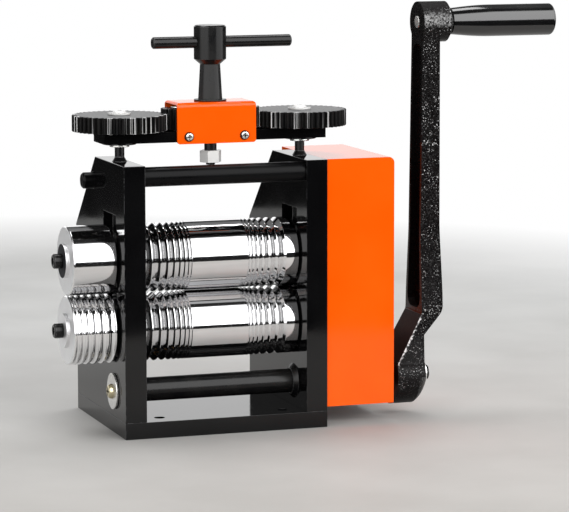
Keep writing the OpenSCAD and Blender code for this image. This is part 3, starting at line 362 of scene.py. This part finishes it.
bronze, tree, shader = blank_finish("turned bronze", (0.5, 0.3, 0.12), metallic=1,
    roughness=0.3)
lines = place_group(tree, turning_lines, Per_metre=9000)
tone = blend_colours(tree, lines.outputs["Streak"], fresh_bronze, brown_bronze)
dress(tree, shader, tone, between(tree, lines.outputs["Streak"], 0.24, 0.38))
emboss(tree, shader, lines.outputs["Height"], distance=0.00002, strength=0.4)
finishes["bronze"] = bronze
machined("lower_bushes", "frame", edge=0.25)
machined("left_drive_bush", "frame", edge=0.25)
machined("upper_bushes", "carriage", edge=0.25)

# Lift springs: round spring wire coiled between the blocks, which push the top roll up.
# The wire keeps the solid's own mesh and is only given its oily finish.
clean_wire = (0.36, 0.36, 0.37)
oily_wire = (0.16, 0.15, 0.15)
spring_steel, tree, shader = blank_finish("oiled spring wire", (0.3, 0.3, 0.31), metallic=1,
    roughness=0.25)
skin = place_group(tree, paint_skin, Peel_scale=2400, Smudge_scale=500)
tone = blend_colours(tree, skin.outputs["Smudge"], clean_wire, oily_wire)
dress(tree, shader, tone, between(tree, skin.outputs["Smudge"], 0.2, 0.4))
springs = frame["nodes"]["lift_springs"].data
springs.materials.clear()
springs.materials.append(spring_steel)

# Rolls: hardened steel turned in one piece with their journals, ground and mirror polished.
# V grooves for wire are cut at both ends of the barrel, wide ones outermost.
axis_y = -25.5
lower_axis_z = 69.2
upper_axis_z = 115.5
roll_radius = 23
journal_radius = 10
barrel_half = 55
roll_chamfer = 0.8
groove_land = 0.5
end_land = 9.4
left_grooves = [6, 5.4, 4.8, 4.1, 3.4, 2.8, 2.2, 1.6]
right_grooves = [1.6, 2, 2.6, 3.2, 4, 4.8, 5.4]
side_roll_left = -100.5
side_roll_floor = 8
gear_seat_radius = 8.5
gear_seat_x = 72
lower_roll_end = 106.5
upper_roll_end = 88
bolt_hole_radius = 3.03
side_bolt_depth = 12
gear_bolt_depth = 14
lathe_corner = 24
clear_polish = (0.93, 0.93, 0.94)
smeared_polish = (0.84, 0.84, 0.85)
worn_polish = (0.6, 0.6, 0.61)
dark_hub_colour = (0.03, 0.03, 0.033)
dark_hub_dullness = 0.3
faced_dullness = 0.36
streak_dullness = 0.03


def vee_grooves(widths, start):
    points = []
    for width in widths:
        bottom = (roll_radius - width / 2, start + width / 2)
        points += [(roll_radius, start), bottom, (roll_radius, start + width)]
        start += width + groove_land
    return points


def turned(name, outline, centre, body, node, edge, steps, parts=192):
    lathe = bmesh.new()
    across, backward, upward = Vector((1, 0, 0)), Vector((0, 1, 0)), Vector((0, 0, 1))
    rings = []
    for radius, place_on_axis in outline:
        foot = Vector(centre) + across * place_on_axis
        if radius == 0:
            rings.append([lathe.verts.new(foot / mm_per_metre)] * parts)
            continue
        ring = []
        for k in range(parts):
            turn = 2 * math.pi * k / parts
            spoke = radius * (math.cos(turn) * backward + math.sin(turn) * upward)
            ring.append(lathe.verts.new((foot + spoke) / mm_per_metre))
        rings.append(ring)
    for ring, following in zip(rings, rings[1:] + rings[:1]):
        if ring[0] is ring[1] and following[0] is following[1]:
            continue
        for k in range(parts):
            corners = [ring[k], ring[(k + 1) % parts], following[(k + 1) % parts], following[k]]
            lathe.faces.new(list(dict.fromkeys(corners)))
    bmesh.ops.recalc_face_normals(lathe, faces=lathe.faces)
    soften_edges(lathe, edge / mm_per_metre, steps, lathe_corner)
    return put_together(name, lathe, body, [node], finishes[slot_of[node]])


def roll_outline(left, right):
    left_start = -barrel_half + roll_chamfer + groove_land
    right_lands = (len(right_grooves) - 1) * groove_land
    right_start = barrel_half - end_land - sum(right_grooves) - right_lands
    return [(bolt_hole_radius, left), (journal_radius, left), (journal_radius, -barrel_half),
        (roll_radius - roll_chamfer, -barrel_half), (roll_radius, -barrel_half + roll_chamfer),
        *vee_grooves(left_grooves, left_start), *vee_grooves(right_grooves, right_start),
        (roll_radius, barrel_half - roll_chamfer), (roll_radius - roll_chamfer, barrel_half),
        (journal_radius, barrel_half), (journal_radius, gear_seat_x),
        (gear_seat_radius, gear_seat_x), (gear_seat_radius, right), (bolt_hole_radius, right),
        (bolt_hole_radius, right - gear_bolt_depth), (0, right - gear_bolt_depth),
        (0, left + side_bolt_depth), (bolt_hole_radius, left + side_bolt_depth)]


polished, tree, shader = blank_finish("mirror polished steel", (0.9, 0.9, 0.91), metallic=1,
    roughness=0.05)
lines = place_group(tree, turning_lines, Per_metre=5200)
skin = place_group(tree, paint_skin, Peel_scale=240, Smudge_scale=34)
wear = place_group(tree, edge_wear, Amount=0.2, Chip_scale=900)
# The upper side roll's hub face is coloured near black and made duller.
dark_hub_mark = face_mark(tree, "dark hub face")
tone = blend_colours(tree, skin.outputs["Smudge"], clear_polish, smeared_polish)
tone = blend_colours(tree, wear.outputs["Worn"], tone, worn_polish)
tone = blend_colours(tree, dark_hub_mark, tone, dark_hub_colour)
smear = between(tree, skin.outputs["Smudge"], 0.03, 0.09)
smear = sum_node(tree, "MULTIPLY_ADD", lines.outputs["Streak"], streak_dullness, smear)
smear = sum_node(tree, "MULTIPLY_ADD", face_mark(tree, "faced end"), faced_dullness, smear)
smear = sum_node(tree, "MULTIPLY_ADD", dark_hub_mark, dark_hub_dullness, smear)
dress(tree, shader, tone, smear)
emboss(tree, shader, lines.outputs["Height"], distance=0.000004, strength=0.3)
finishes["chrome"] = polished
journal_end = side_roll_left + side_roll_floor
turned("top_roll_turned", roll_outline(journal_end, upper_roll_end), (0, axis_y, upper_axis_z),
    "top_roll", "upper_roll", edge=0.1, steps=2)
turned("bottom_roll_turned", roll_outline(journal_end, lower_roll_end), (0, axis_y, lower_axis_z),
    "bottom_roll", "lower_roll", edge=0.1, steps=2)

# Side rolls: short polished rolls bored to go over the left journals, outside the frame.
# Both have a raised hub and a finely faced end. The upper one is plain, and its hub's face is
# coloured near black, the lower one has half round grooves.
side_roll_length = 29.6
side_hub_radius = 11.4
side_hub_height = 2.4
half_round_widths = [2.2, 2.8, 3.2, 3.8, 4.4, 4.8]
half_round_land = 1.1
half_round_share = 0.36
half_round_steps = 12
journal_fit_radius = 10.03
hub_mark_depth = 0.05
end_mark_depth = 0.02
hub_skin = side_roll_left - side_hub_height + hub_mark_depth
end_skin = side_roll_left + end_mark_depth


def half_round_grooves(start):
    points = []
    for width in half_round_widths:
        depth = width * half_round_share
        bow = (width * width / 4 + depth * depth) / (2 * depth)
        reach_angle = math.asin(width / 2 / bow)
        for k in range(half_round_steps + 1):
            turn = reach_angle * (2 * k / half_round_steps - 1)
            radius = roll_radius + (bow - depth) - bow * math.cos(turn)
            points.append((radius, start + width / 2 + bow * math.sin(turn)))
        start += width + half_round_land
    return points


def side_roll_outline(grooves):
    return [(bolt_hole_radius, -side_hub_height), (side_hub_radius, -side_hub_height),
        (side_hub_radius, 0), (roll_radius - roll_chamfer, 0), (roll_radius, roll_chamfer),
        *grooves, (roll_radius, side_roll_length - roll_chamfer),
        (roll_radius - roll_chamfer, side_roll_length), (journal_fit_radius, side_roll_length),
        (journal_fit_radius, side_roll_floor), (bolt_hole_radius, side_roll_floor)]


top_side_roll = turned("top_side_roll_turned", side_roll_outline([]),
    (side_roll_left, axis_y, upper_axis_z), "top_roll", "upper_side_roll", edge=0.2, steps=3)
marked(top_side_roll, "dark hub face", lambda spot: float(spot.x < hub_skin))
grooves = half_round_grooves(roll_chamfer + half_round_land / 2)
bottom_side_roll = turned("bottom_side_roll_turned", side_roll_outline(grooves),
    (side_roll_left, axis_y, lower_axis_z), "bottom_roll", "lower_side_roll", edge=0.15, steps=2)
for side_roll in (top_side_roll, bottom_side_roll):
    marked(side_roll, "faced end", lambda spot: float(spot.x < end_skin))

# Side roll bolts: blackened socket head bolts that pull the side rolls onto the journals.
# The black is worn thin along the edges of their heads.
oiled_blacking = (0.005, 0.005, 0.0055)
dry_blacking = (0.011, 0.0105, 0.01)
rubbed_blacking = (0.06, 0.06, 0.06)
black_steel, tree, shader = blank_finish("blackened steel", (0.008, 0.008, 0.0083), metallic=0,
    roughness=0.3, specular=0.27)
skin = place_group(tree, paint_skin, Peel_scale=1300, Smudge_scale=70)
wear = place_group(tree, edge_wear, Amount=0.45, Chip_scale=700)
tone = blend_colours(tree, skin.outputs["Smudge"], oiled_blacking, dry_blacking)
tone = blend_colours(tree, wear.outputs["Worn"], tone, rubbed_blacking)
dress(tree, shader, tone, between(tree, skin.outputs["Smudge"], 0.16, 0.26))
emboss(tree, shader, skin.outputs["Height"], distance=0.000015, strength=0.4)
finishes["black_steel"] = black_steel
machined("upper_side_bolt", "top_roll", edge=0.25)
machined("lower_side_bolt", "bottom_roll", edge=0.25)

# Roll gears, wheel and pinion: cut steel spur gears under the cover, faced and oiled.
# Their flanks are left as hobbed, and their edges are worn bright.
cut_steel = (0.42, 0.42, 0.43)
oiled_steel = (0.25, 0.24, 0.23)
worn_bright = (0.75, 0.75, 0.75)
gear_steel, tree, shader = blank_finish("cut gear steel", (0.4, 0.4, 0.41), metallic=1,
    roughness=0.3)
skin = place_group(tree, paint_skin, Peel_scale=1100, Smudge_scale=90)
wear = place_group(tree, edge_wear, Amount=0.8, Chip_scale=500)
hob_marks = speckle(tree, scale=60, detail=3, stretch=(26, 1, 1))
tone = blend_colours(tree, skin.outputs["Smudge"], cut_steel, oiled_steel)
tone = blend_colours(tree, wear.outputs["Worn"], tone, worn_bright)
dress(tree, shader, tone, spread(tree, hob_marks, *line_contrast, 0.22, 0.42))
emboss(tree, shader, hob_marks, distance=0.00003, strength=0.4)
finishes["gear_steel"] = gear_steel
machined("upper_roll_gear", "top_roll", edge=0.2, steps=1)
machined("lower_roll_gear", "bottom_roll", edge=0.2, steps=1)
machined("drive_wheel", "bottom_roll", edge=0.2, steps=1)
machined("drive_pinion", "crank", edge=0.2, steps=1)
machined("upper_gear_bolt", "top_roll", edge=0.25)
machined("lower_gear_bolt", "bottom_roll", edge=0.25)

# Drive shaft: blackened 16 mm bar right through the frame, turned down for pinion and crank.
# A plated washer and a cross recess screw close its left end, and a black flanged bush carries
# it in the right plate.
drive_y = -33
drive_z = 28
recess_reach_squared = 5
screw_crown = 0.25
recess_shade_share = 0.9
machined("drive_shaft", "crank", edge=0.3)
machined("right_drive_bush", "frame", edge=0.3)
machined("shaft_end_washer", "crank", edge=0.3)
screw = machined("shaft_end_screw", "crank", edge=0.15)
marked(screw, "yellow zinc", lambda spot: 1.0)
screw_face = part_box("shaft_end_screw")[0][0] * mm_per_metre + screw_crown


# Painted shade: the screw's cross recess is coloured near black.
def shaft_screw_recess_shade(spot):
    near_axis = (spot.y - drive_y) ** 2 + (spot.z - drive_z) ** 2 < recess_reach_squared
    return recess_shade_share if spot.x > screw_face and near_axis else 0.0


marked(screw, "recess shade", shaft_screw_recess_shade)

# Gear cover: folded sheet steel box, powder coated orange, held by two screws on pillars.
# Its upper right edge is bent round, the others are welded corners ground smooth.
fresh_orange = (1.0, 0.1, 0.0008)
smudged_orange = (1.0, 0.116, 0.002)
pale_orange = (1.0, 0.2, 0.03)
orange_coat, tree, shader = blank_finish("orange powder coat", (1.0, 0.108, 0.001), metallic=0,
    roughness=0.1, specular=0.32)
skin = place_group(tree, paint_skin, Peel_scale=520, Smudge_scale=18)
wear = place_group(tree, edge_wear, Amount=0.25, Chip_scale=200)
tone = blend_colours(tree, skin.outputs["Smudge"], fresh_orange, smudged_orange)
tone = blend_colours(tree, wear.outputs["Worn"], tone, pale_orange)
dress(tree, shader, tone, between(tree, skin.outputs["Smudge"], 0.07, 0.12))
emboss(tree, shader, skin.outputs["Height"], distance=0.00003, strength=0.4)
finishes["cover_paint"] = orange_coat
machined("gear_cover", "frame", edge=0.3, steps=3)
machined("cover_pillars", "frame", edge=0.3)
machined("cover_screws", "frame", edge=0.15)

# Bridge: black painted flat bar that carries the adjusting gears, with a thin disc under each end.
# It rides up and down with the screws.
machined("bridge_bar", "bridge", edge=0.4, steps=3)
machined("bridge_discs", "bridge", edge=0.2)

# Adjusting screws and thrust washers: blackened screws with bright washers under the bridge.
# They turn in the plates' tops and press the upper blocks down.
machined("left_adjusting_screw", "left_screw", edge=0.3)
machined("right_adjusting_screw", "right_screw", edge=0.3)
machined("left_thrust_washer", "left_screw", edge=0.2)
machined("right_thrust_washer", "right_screw", edge=0.2)

# Adjusting gears, idlers and handle pinion: dark oiled steel gears on top of the bridge.
# Their tops are faced and speckled, and thin light lines are painted along the tooth edges as
# highlights. A flanged, zinc plated bolt holds each of the two large ones, with painted shade in
# its recess.
oiled_flank = (0.004, 0.004, 0.0045)
dry_flank = (0.009, 0.0085, 0.008)
dark_top = (0.024, 0.024, 0.025)
speckled_top = (0.125, 0.125, 0.129)
painted_highlight_grey = (0.85, 0.85, 0.85)
top_metallic = 0.9
tooth_highlight_spread = (0.535, 0.585)
facing_up = (0.8, 0.95)
top_specks = (0.42, 0.6)
recess_reach = 2.9
recess_rim = 0.3
dark_gears, tree, shader = blank_finish("dark oiled gear steel", (0.008, 0.008, 0.0085), metallic=0,
    roughness=0.3, specular=0.1)
skin = place_group(tree, paint_skin, Peel_scale=1400, Smudge_scale=60)
# Painted highlights: thin light lines down the bevelled tooth edges, laid into the colour.
tooth_lines = speckle(tree, scale=150, detail=1, stretch=(1, 1, 0.03))
tooth_edge_highlights = product(tree, spread(tree, tooth_lines, *tooth_highlight_spread), face_mark(tree, "edge"))
grit = speckle(tree, scale=1700, detail=3)
top_face = spread(tree, axes_of(tree, "Normal")["Z"], *facing_up)
top_tone = blend_colours(tree, spread(tree, grit, *top_specks), dark_top, speckled_top)
tone = blend_colours(tree, skin.outputs["Smudge"], oiled_flank, dry_flank)
tone = blend_colours(tree, top_face, tone, top_tone)
tone = blend_colours(tree, tooth_edge_highlights, tone, painted_highlight_grey)
dress(tree, shader, tone, spread(tree, grit, *line_contrast, 0.26, 0.44))
feed(tree, product(tree, top_face, top_metallic), shader.inputs["Metallic"])
emboss(tree, shader, grit, distance=0.00004, strength=0.5)
finishes["dark_gear_steel"] = dark_gears
machined("left_adjusting_gear", "left_screw", edge=0.25, steps=1)
machined("right_adjusting_gear", "right_screw", edge=0.25, steps=1)
machined("left_idler_gear", "left_idler", edge=0.2, steps=1)
machined("right_idler_gear", "right_idler", edge=0.2, steps=1)
machined("handle_pinion", "t_handle", edge=0.2, steps=1)


# Painted shade: the bolt's recess is coloured near black.
def gear_bolt_recess_shade(spot):
    in_recess = math.hypot(spot.x - bolt_x, spot.y - axis_y) < recess_reach
    return recess_shade_share if in_recess and spot.z < bolt_top - recess_rim else 0.0


for bolt, body in (("left_gear_bolt", "left_screw"), ("right_gear_bolt", "right_screw")):
    bolt_low, bolt_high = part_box(bolt)
    bolt_x = (bolt_low[0] + bolt_high[0]) / 2 * mm_per_metre
    bolt_top = bolt_high[2] * mm_per_metre
    piece = machined(bolt, body, edge=0.15)
    marked(piece, "white zinc", lambda spot: 1.0)
    marked(piece, "recess shade", gear_bolt_recess_shade)
machined("idler_pins", "bridge", edge=0.2)

# Pinion cover: orange sheet folded to a channel over the middle gears, with four small
# cross recess screws into the edges of the bridge.
machined("pinion_cover", "bridge", edge=0.25, steps=3)
screws = machined("pinion_cover_screws", "bridge", edge=0.1)
front_face, rear_face = (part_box("pinion_cover_screws")[end][1] * mm_per_metre for end in (0, 1))
head_crown = 0.2
head_shade_share = 0.95


# Painted shade: all of each screw except the crown of its head is coloured near black.
def cover_screw_head_shade(spot):
    below_crown = front_face + head_crown < spot.y < rear_face - head_crown
    return head_shade_share if below_crown else 0.0


marked(screws, "recess shade", cover_screw_head_shade)

# T handle: turned and blackened column with a thicker head, and a plain rod through it.
# A washer, spacer and bright hexagon nut hold it to the bridge.
machined("t_handle_column", "t_handle", edge=0.4)
machined("t_handle_bar", "t_handle", edge=0.3)
machined("handle_washer", "t_handle", edge=0.2)
machined("handle_spacer", "t_handle", edge=0.2)
marked(machined("handle_nut", "t_handle", edge=0.4), "white zinc", lambda spot: 1.0)

# Crank: a dog-leg iron casting with a long hollow in each broad face, painted gloss black.
# The paint lies over the rough skin of the sand mould. Painted highlights are laid into its colour:
# white glint specks on the narrow faces, a broken light line along the crest of the slant, and a
# painted reflection band across the boss.
grit_height = 0.6
hollow_depth = (0.35, 0.85)
cast_skin, takes, gives = new_group("cast skin", [("Lump scale", 330), ("Grit scale", 900)],
    ["Height", "Hollow"])
lumps = cast_skin.nodes.new("ShaderNodeTexVoronoi")
lumps.feature = "SMOOTH_F1"
place = cast_skin.nodes.new("ShaderNodeTexCoord")
feed(cast_skin, takes.outputs["Lump scale"], lumps.inputs["Scale"])
feed(cast_skin, place.outputs["Object"], lumps.inputs["Vector"])
mould_grit = speckle(cast_skin, takes.outputs["Grit scale"], detail=3)
relief = sum_node(cast_skin, "MULTIPLY_ADD", mould_grit, grit_height, lumps.outputs["Distance"])
feed(cast_skin, relief, gives.inputs["Height"])
feed(cast_skin, spread(cast_skin, relief, *hollow_depth), gives.inputs["Hollow"])

raised_black = (0.002, 0.002, 0.0022)
hollow_black = (0.006, 0.005, 0.005)
painted_highlight_white = (0.8, 0.8, 0.8)
arm_foot_z, arm_waist_z, arm_top_z = 0.086, 0.126, 0.268
foot_flare = 0.0031
waist_half_width = 0.0114
top_half_width = 0.0105
skin_depth = (-0.002, -0.001)
sideways = (0.4, 0.7)
boss_band_z = 0.27
boss_band_reach = (0.0022, 0.006)
slant_low, slant_high = (0.124, 0.0364), (0.1425, 0.071)
crest_lift = -0.0024
crest_waver = 0.005
crest_width = (0.0009, 0.0015)
crest_start = (0, 0.002)
crest_end = (0.036, 0.04)
crest_front_y = (-0.0478, -0.047)
foot_glints_z = (0.018, 0.027)
dull_foot_z = (0.048, 0.06)
dull_facing = (0.3, 0.4)
broad_face_relief = 0.12
lump_height = 0.12
pimple_height = 0.0004
glint_specks = (0.62, 0.73)
cluster_patches = (0.4, 0.56)
boss_reflection_patches = (0.42, 0.62)
crest_highlight_breaks = (0.42, 0.52)
pimple_specks = (0.58, 0.74)
crank_paint, tree, shader = blank_finish("black paint on rough casting", paint_black, metallic=0,
    roughness=0.12, specular=0.12)
cast = place_group(tree, cast_skin, Lump_scale=700, Grit_scale=1300)
turned_to = axes_of(tree, "Normal")
spot_on_arm = axes_of(tree, "Object")
half_width = sum_node(tree, "ADD",
    spread(tree, spot_on_arm["Z"], arm_foot_z, arm_waist_z, foot_flare, 0),
    spread(tree, spot_on_arm["Z"], arm_waist_z, arm_top_z, waist_half_width, top_half_width))
from_middle = sum_node(tree, "SUBTRACT", spot_on_arm["Y"], drive_y / mm_per_metre)
from_middle = sum_node(tree, "ABSOLUTE", from_middle)
outer_skin = spread(tree, sum_node(tree, "SUBTRACT", from_middle, half_width), *skin_depth)
narrow_face = spread(tree, sum_node(tree, "ABSOLUTE", turned_to["Y"]), *sideways)
narrow_face = product(tree, narrow_face, outer_skin)

# Painted highlights: sparse near white specks in the colour of the narrow outer faces, in patches.
clusters = spread(tree, speckle(tree, scale=110, detail=2), *cluster_patches, 0.12, 1)
glints = product(tree, spread(tree, speckle(tree, scale=1150, detail=2), *glint_specks), clusters,
    narrow_face, spread(tree, spot_on_arm["Z"], *foot_glints_z))

# Painted reflection: a speckled light band across the boss's narrow faces, where its round front
# mirrors the light.
boss_height = sum_node(tree, "SUBTRACT", spot_on_arm["Z"], boss_band_z)
boss_height = sum_node(tree, "ABSOLUTE", boss_height)
boss_reflection_band = product(tree, spread(tree, boss_height, *boss_band_reach, 1, 0),
    spread(tree, speckle(tree, scale=700, detail=3), *boss_reflection_patches, 0.02, 0.38), narrow_face)

# Painted highlight: a broken light line along the crest of the slant, on its front face.
slant_run = math.hypot(slant_high[0] - slant_low[0], slant_high[1] - slant_low[1])
slant_x, slant_z = ((high - low) / slant_run for low, high in zip(slant_low, slant_high))
from_x = sum_node(tree, "SUBTRACT", spot_on_arm["X"], slant_low[0])
from_z = sum_node(tree, "SUBTRACT", spot_on_arm["Z"], slant_low[1])
inward = sum_node(tree, "MULTIPLY", from_z, -slant_x)
inward = sum_node(tree, "MULTIPLY_ADD", from_x, slant_z, inward)
along_slant = sum_node(tree, "MULTIPLY", from_z, slant_z)
along_slant = sum_node(tree, "MULTIPLY_ADD", from_x, slant_x, along_slant)
ragged = sum_node(tree, "ADD", inward, crest_lift)
ragged = sum_node(tree, "MULTIPLY_ADD", speckle(tree, scale=500, detail=3), crest_waver, ragged)
crest = product(tree, spread(tree, ragged, *crest_width, 1, 0),
    spread(tree, along_slant, *crest_start), spread(tree, along_slant, *crest_end, 1, 0),
    spread(tree, spot_on_arm["Y"], *crest_front_y, 1, 0),
    spread(tree, speckle(tree, scale=420, detail=3), *crest_highlight_breaks, 0.12, 1), narrow_face)

# The glints, the crest line and the boss band are all painted highlights, coloured near white.
painted_highlights = sum_node(tree, "MAXIMUM", sum_node(tree, "MAXIMUM", crest, glints), boss_reflection_band)
tone = blend_colours(tree, cast.outputs["Hollow"], raised_black, hollow_black)
tone = blend_colours(tree, painted_highlights, tone, painted_highlight_white)
gloss = between(tree, cast.outputs["Hollow"], 0.1, 0.18)
gloss = sum_node(tree, "ADD", gloss, spread(tree, turned_to["Z"], *dull_facing, 0, 0.4))
gloss = sum_node(tree, "ADD", gloss, spread(tree, spot_on_arm["Z"], *dull_foot_z, 0.2, 0))
dress(tree, shader, tone, gloss)
pimples = spread(tree, speckle(tree, scale=620, detail=2), *pimple_specks)
pimples = sum_node(tree, "MULTIPLY_ADD", cast.outputs["Height"], lump_height, pimples)
pimples = product(tree, pimples, between(tree, narrow_face, broad_face_relief, 1))
emboss(tree, shader, pimples, distance=pimple_height, strength=0.6)
finishes["crank_paint"] = crank_paint
machined("crank_arm", "crank", edge=0.8, steps=3)
machined("crank_washer", "crank", edge=0.2)
machined("crank_bolt", "crank", edge=0.25)
machined("grip_spindle", "crank", edge=0.2)

# Crank grip: smooth turned grip of hard gloss black plastic that spins on the spindle.
# It swells from a narrow neck to a full, round-edged end.
grip_axis_z = 268
grip_length = 74.5
grip_neck_radius = 8.9
grip_neck_length = 0.8
grip_full_radius = 10.8
grip_bore_radius = 4.05
grip_swell = grip_length * 0.38
grip_end_radius = 2
grip_wall = 12
swell_steps = 24
end_steps = 12
wiped_plastic = (0.004, 0.004, 0.0043)
handled_plastic = (0.007, 0.007, 0.0072)
grip_outline = [(grip_bore_radius, 0), (grip_neck_radius, 0)]
for k in range(swell_steps + 1):
    fullness = math.sin(math.pi / 2 * k / swell_steps)
    grip_outline.append((grip_neck_radius + (grip_full_radius - grip_neck_radius) * fullness,
        grip_swell * k / swell_steps + grip_neck_length))
for k in range(end_steps + 1):
    turn = math.pi / 2 * k / end_steps
    grip_outline.append((grip_full_radius - grip_end_radius * (1 - math.cos(turn)),
        grip_length - grip_end_radius * (1 - math.sin(turn))))
grip_outline += [(0, grip_length), (0, grip_length - grip_wall),
    (grip_bore_radius, grip_length - grip_wall)]
gloss_plastic, tree, shader = blank_finish("gloss black plastic", (0.005, 0.005, 0.0053),
    metallic=0, roughness=0.1, specular=0.95)
skin = place_group(tree, paint_skin, Peel_scale=160, Smudge_scale=45)
tone = blend_colours(tree, skin.outputs["Smudge"], wiped_plastic, handled_plastic)
dress(tree, shader, tone, between(tree, skin.outputs["Smudge"], 0.08, 0.14))
emboss(tree, shader, skin.outputs["Height"], distance=0.00002, strength=0.3)
finishes["grip_plastic"] = gloss_plastic
grip_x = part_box("crank_grip")[0][0] * mm_per_metre
turned("crank_grip_turned", grip_outline, (grip_x, drive_y, grip_axis_z), "grip", "crank_grip",
    edge=0.3, steps=3, parts=128)

# Floor: a pale sheet under the mill that fades into the white background. A painted shade makes
# its colour darker and warmer towards the front.
# Its outer ring is there for the eye only, so what the black paint mirrors ends at the inner ring.
floor_middle = (0, 0.36, 0)
floor_radius = 1.5
floor_corners = 96
inner_ring = (0.819, 0.82)
middle_fade = (0.42, 0.8)
outer_fade = (0.95, 1.4)
backward_fade = (0, 0.5)
front_shade_to_back = (-0.3, 0.4)
cloud_patches = (0.35, 0.65)
cool_grey, light_cool_grey = (0.6, 0.6, 0.59), (0.66, 0.66, 0.65)
shaded_front_grey, shaded_front_light_grey = (0.47, 0.455, 0.435), (0.52, 0.505, 0.485)
floor_work = bmesh.new()
bmesh.ops.create_circle(floor_work, cap_ends=True, segments=floor_corners, radius=floor_radius,
    matrix=Matrix.Translation(floor_middle))
floor_mesh = bpy.data.meshes.new("floor")
floor_work.to_mesh(floor_mesh)
floor_work.free()
floor = bpy.data.objects.new("floor", floor_mesh)
bpy.context.scene.collection.objects.link(floor)
pale_floor, tree, shader = blank_finish("pale floor", (0.62, 0.62, 0.61), metallic=0,
    roughness=0.6, specular=0.05)
cloud = spread(tree, speckle(tree, scale=9, detail=5), *cloud_patches)
place = tree.nodes.new("ShaderNodeTexCoord")
backward = axes_of(tree, "Object")["Y"]
tone = blend_colours(tree, cloud, cool_grey, light_cool_grey)
shaded_front_tone = blend_colours(tree, cloud, shaded_front_grey, shaded_front_light_grey)
# Painted shade: the colour darkens and warms towards the front of the floor.
tone = blend_colours(tree, spread(tree, backward, *front_shade_to_back), shaded_front_tone, tone)
feed(tree, tone, shader.inputs["Base Color"])
from_centre = tree.nodes.new("ShaderNodeVectorMath")
from_centre.operation = "DISTANCE"
from_centre.inputs[1].default_value = floor_middle
feed(tree, place.outputs["Object"], from_centre.inputs[0])
distance = from_centre.outputs["Value"]
fade = product(tree, spread(tree, distance, *middle_fade), spread(tree, backward, *backward_fade))
fade = sum_node(tree, "MAXIMUM", fade, spread(tree, distance, *outer_fade))
rays = tree.nodes.new("ShaderNodeLightPath")
shown = sum_node(tree, "MAXIMUM", rays.outputs["Is Camera Ray"],
    rays.outputs["Is Transmission Ray"])
white = tree.nodes.new("ShaderNodeEmission")
clear = tree.nodes.new("ShaderNodeBsdfTransparent")
outer_ring = spread(tree, distance, *inner_ring)
unseen = sum_node(tree, "SUBTRACT", outer_ring, product(tree, outer_ring, shown))


def cover_with(tree, share, below, above):
    node = tree.nodes.new("ShaderNodeMixShader")
    for socket, source in zip(node.inputs, (share, below, above)):
        feed(tree, source, socket)
    return node.outputs["Shader"]


faded = cover_with(tree, product(tree, fade, shown), shader.outputs["BSDF"],
    white.outputs["Emission"])
ringed = cover_with(tree, unseen, faded, clear.outputs["BSDF"])
feed(tree, ringed, tree.nodes["Material Output"].inputs["Surface"])
floor_mesh.materials.append(pale_floor)

# Studio: white to the camera, an even grey level for the light, and four softboxes. Gloss sees
# only the top one, in a room that is dark below and overhead and white around, and sees that
# room dim once it has been mirrored twice.
ceiling = [(0.82, 1), (0.87, 0.006), (0.97, 0.006), (1, 0.06)]
front_heights = [(-1, 0.004), (0.0, 0.004), (0.03, 1), *ceiling]
side_heights = [(-1, 0.004), (-0.12, 0.004), (-0.085, 0.8), *ceiling]
back_heights = [(-1, 0.014), (-0.03, 0.014), (0.02, 0.8), (0.05, 1), (0.3, 1), (0.42, 0.055),
    (0.9, 0.2), (1, 0.2)]
side_corner = (0.43, 0.52)
rear_corner = (-0.15, 0.15)
second_mirror = (2.4, 2.6)
second_mirror_loss = 0.88
dim_room = (0.01, 0.0095, 0.009)
plain_level = (0.4, 0.4, 0.4)
studio_white = (1, 1, 1)
world = bpy.data.worlds.new("studio")
bpy.context.scene.world = world
world.use_nodes = True
tree = world.node_tree
backdrop = tree.nodes["Background"]
way = axes_of(tree, "Generated")


def height_ramp(stops, brightness):
    ramp = tree.nodes.new("ShaderNodeValToRGB")
    while len(ramp.color_ramp.elements) < len(stops):
        ramp.color_ramp.elements.new(0.5)
    for element, (height, grey) in zip(ramp.color_ramp.elements, stops):
        element.position = height / 2 + 0.5
        element.color = (grey, grey, grey, 1)
    feed(tree, spread(tree, way["Z"], -1, 1), ramp.inputs["Fac"])
    return product(tree, ramp.outputs["Color"], brightness)


front_wall = height_ramp(front_heights, brightness=3.7)
back_wall = height_ramp(back_heights, brightness=1.2)
side_wall = height_ramp(side_heights, brightness=3.2)
side_share = spread(tree, sum_node(tree, "ABSOLUTE", way["X"]), *side_corner)
rear_share = spread(tree, way["Y"], *rear_corner)
room = blend_colours(tree, side_share, front_wall, side_wall)
room = blend_colours(tree, rear_share, room, back_wall)
rays = tree.nodes.new("ShaderNodeLightPath")
mirrored_twice = spread(tree, rays.outputs["Ray Depth"], *second_mirror, 0, second_mirror_loss)
room = blend_colours(tree, mirrored_twice, room, dim_room)
level = blend_colours(tree, rays.outputs["Is Glossy Ray"], plain_level, room)
shown = sum_node(tree, "MAXIMUM", rays.outputs["Is Camera Ray"],
    rays.outputs["Is Transmission Ray"])
feed(tree, blend_colours(tree, shown, level, studio_white), backdrop.inputs["Color"])


def softbox(name, place_of_box, aim, width, height, power, mirrored=False):
    data = bpy.data.lights.new(name, "AREA")
    data.shape = "RECTANGLE"
    data.size = width
    data.size_y = height
    data.energy = power
    lamp = bpy.data.objects.new(name, data)
    lamp.location = place_of_box
    aim_line = Vector(aim) - Vector(place_of_box)
    lamp.rotation_euler = aim_line.to_track_quat("-Z", "Y").to_euler()
    lamp.visible_camera = False
    lamp.visible_glossy = mirrored
    bpy.context.scene.collection.objects.link(lamp)


mill_middle = (0.03, 0, 0.13)
softbox("front_softbox", (0.45, -1.4, 0.7), mill_middle, width=1.3, height=0.8, power=16)
softbox("left_softbox", (-1.2, -1.0, 0.5), mill_middle, width=0.8, height=1.0, power=6)
softbox("right_softbox", (1.25, -1.1, 0.5), mill_middle, width=0.8, height=1.0, power=3)
softbox("top_softbox", (0.0, 0.35, 1.5), mill_middle, width=1.3, height=0.6, power=12,
    mirrored=True)

bpy.context.scene.view_settings.view_transform = "Standard"
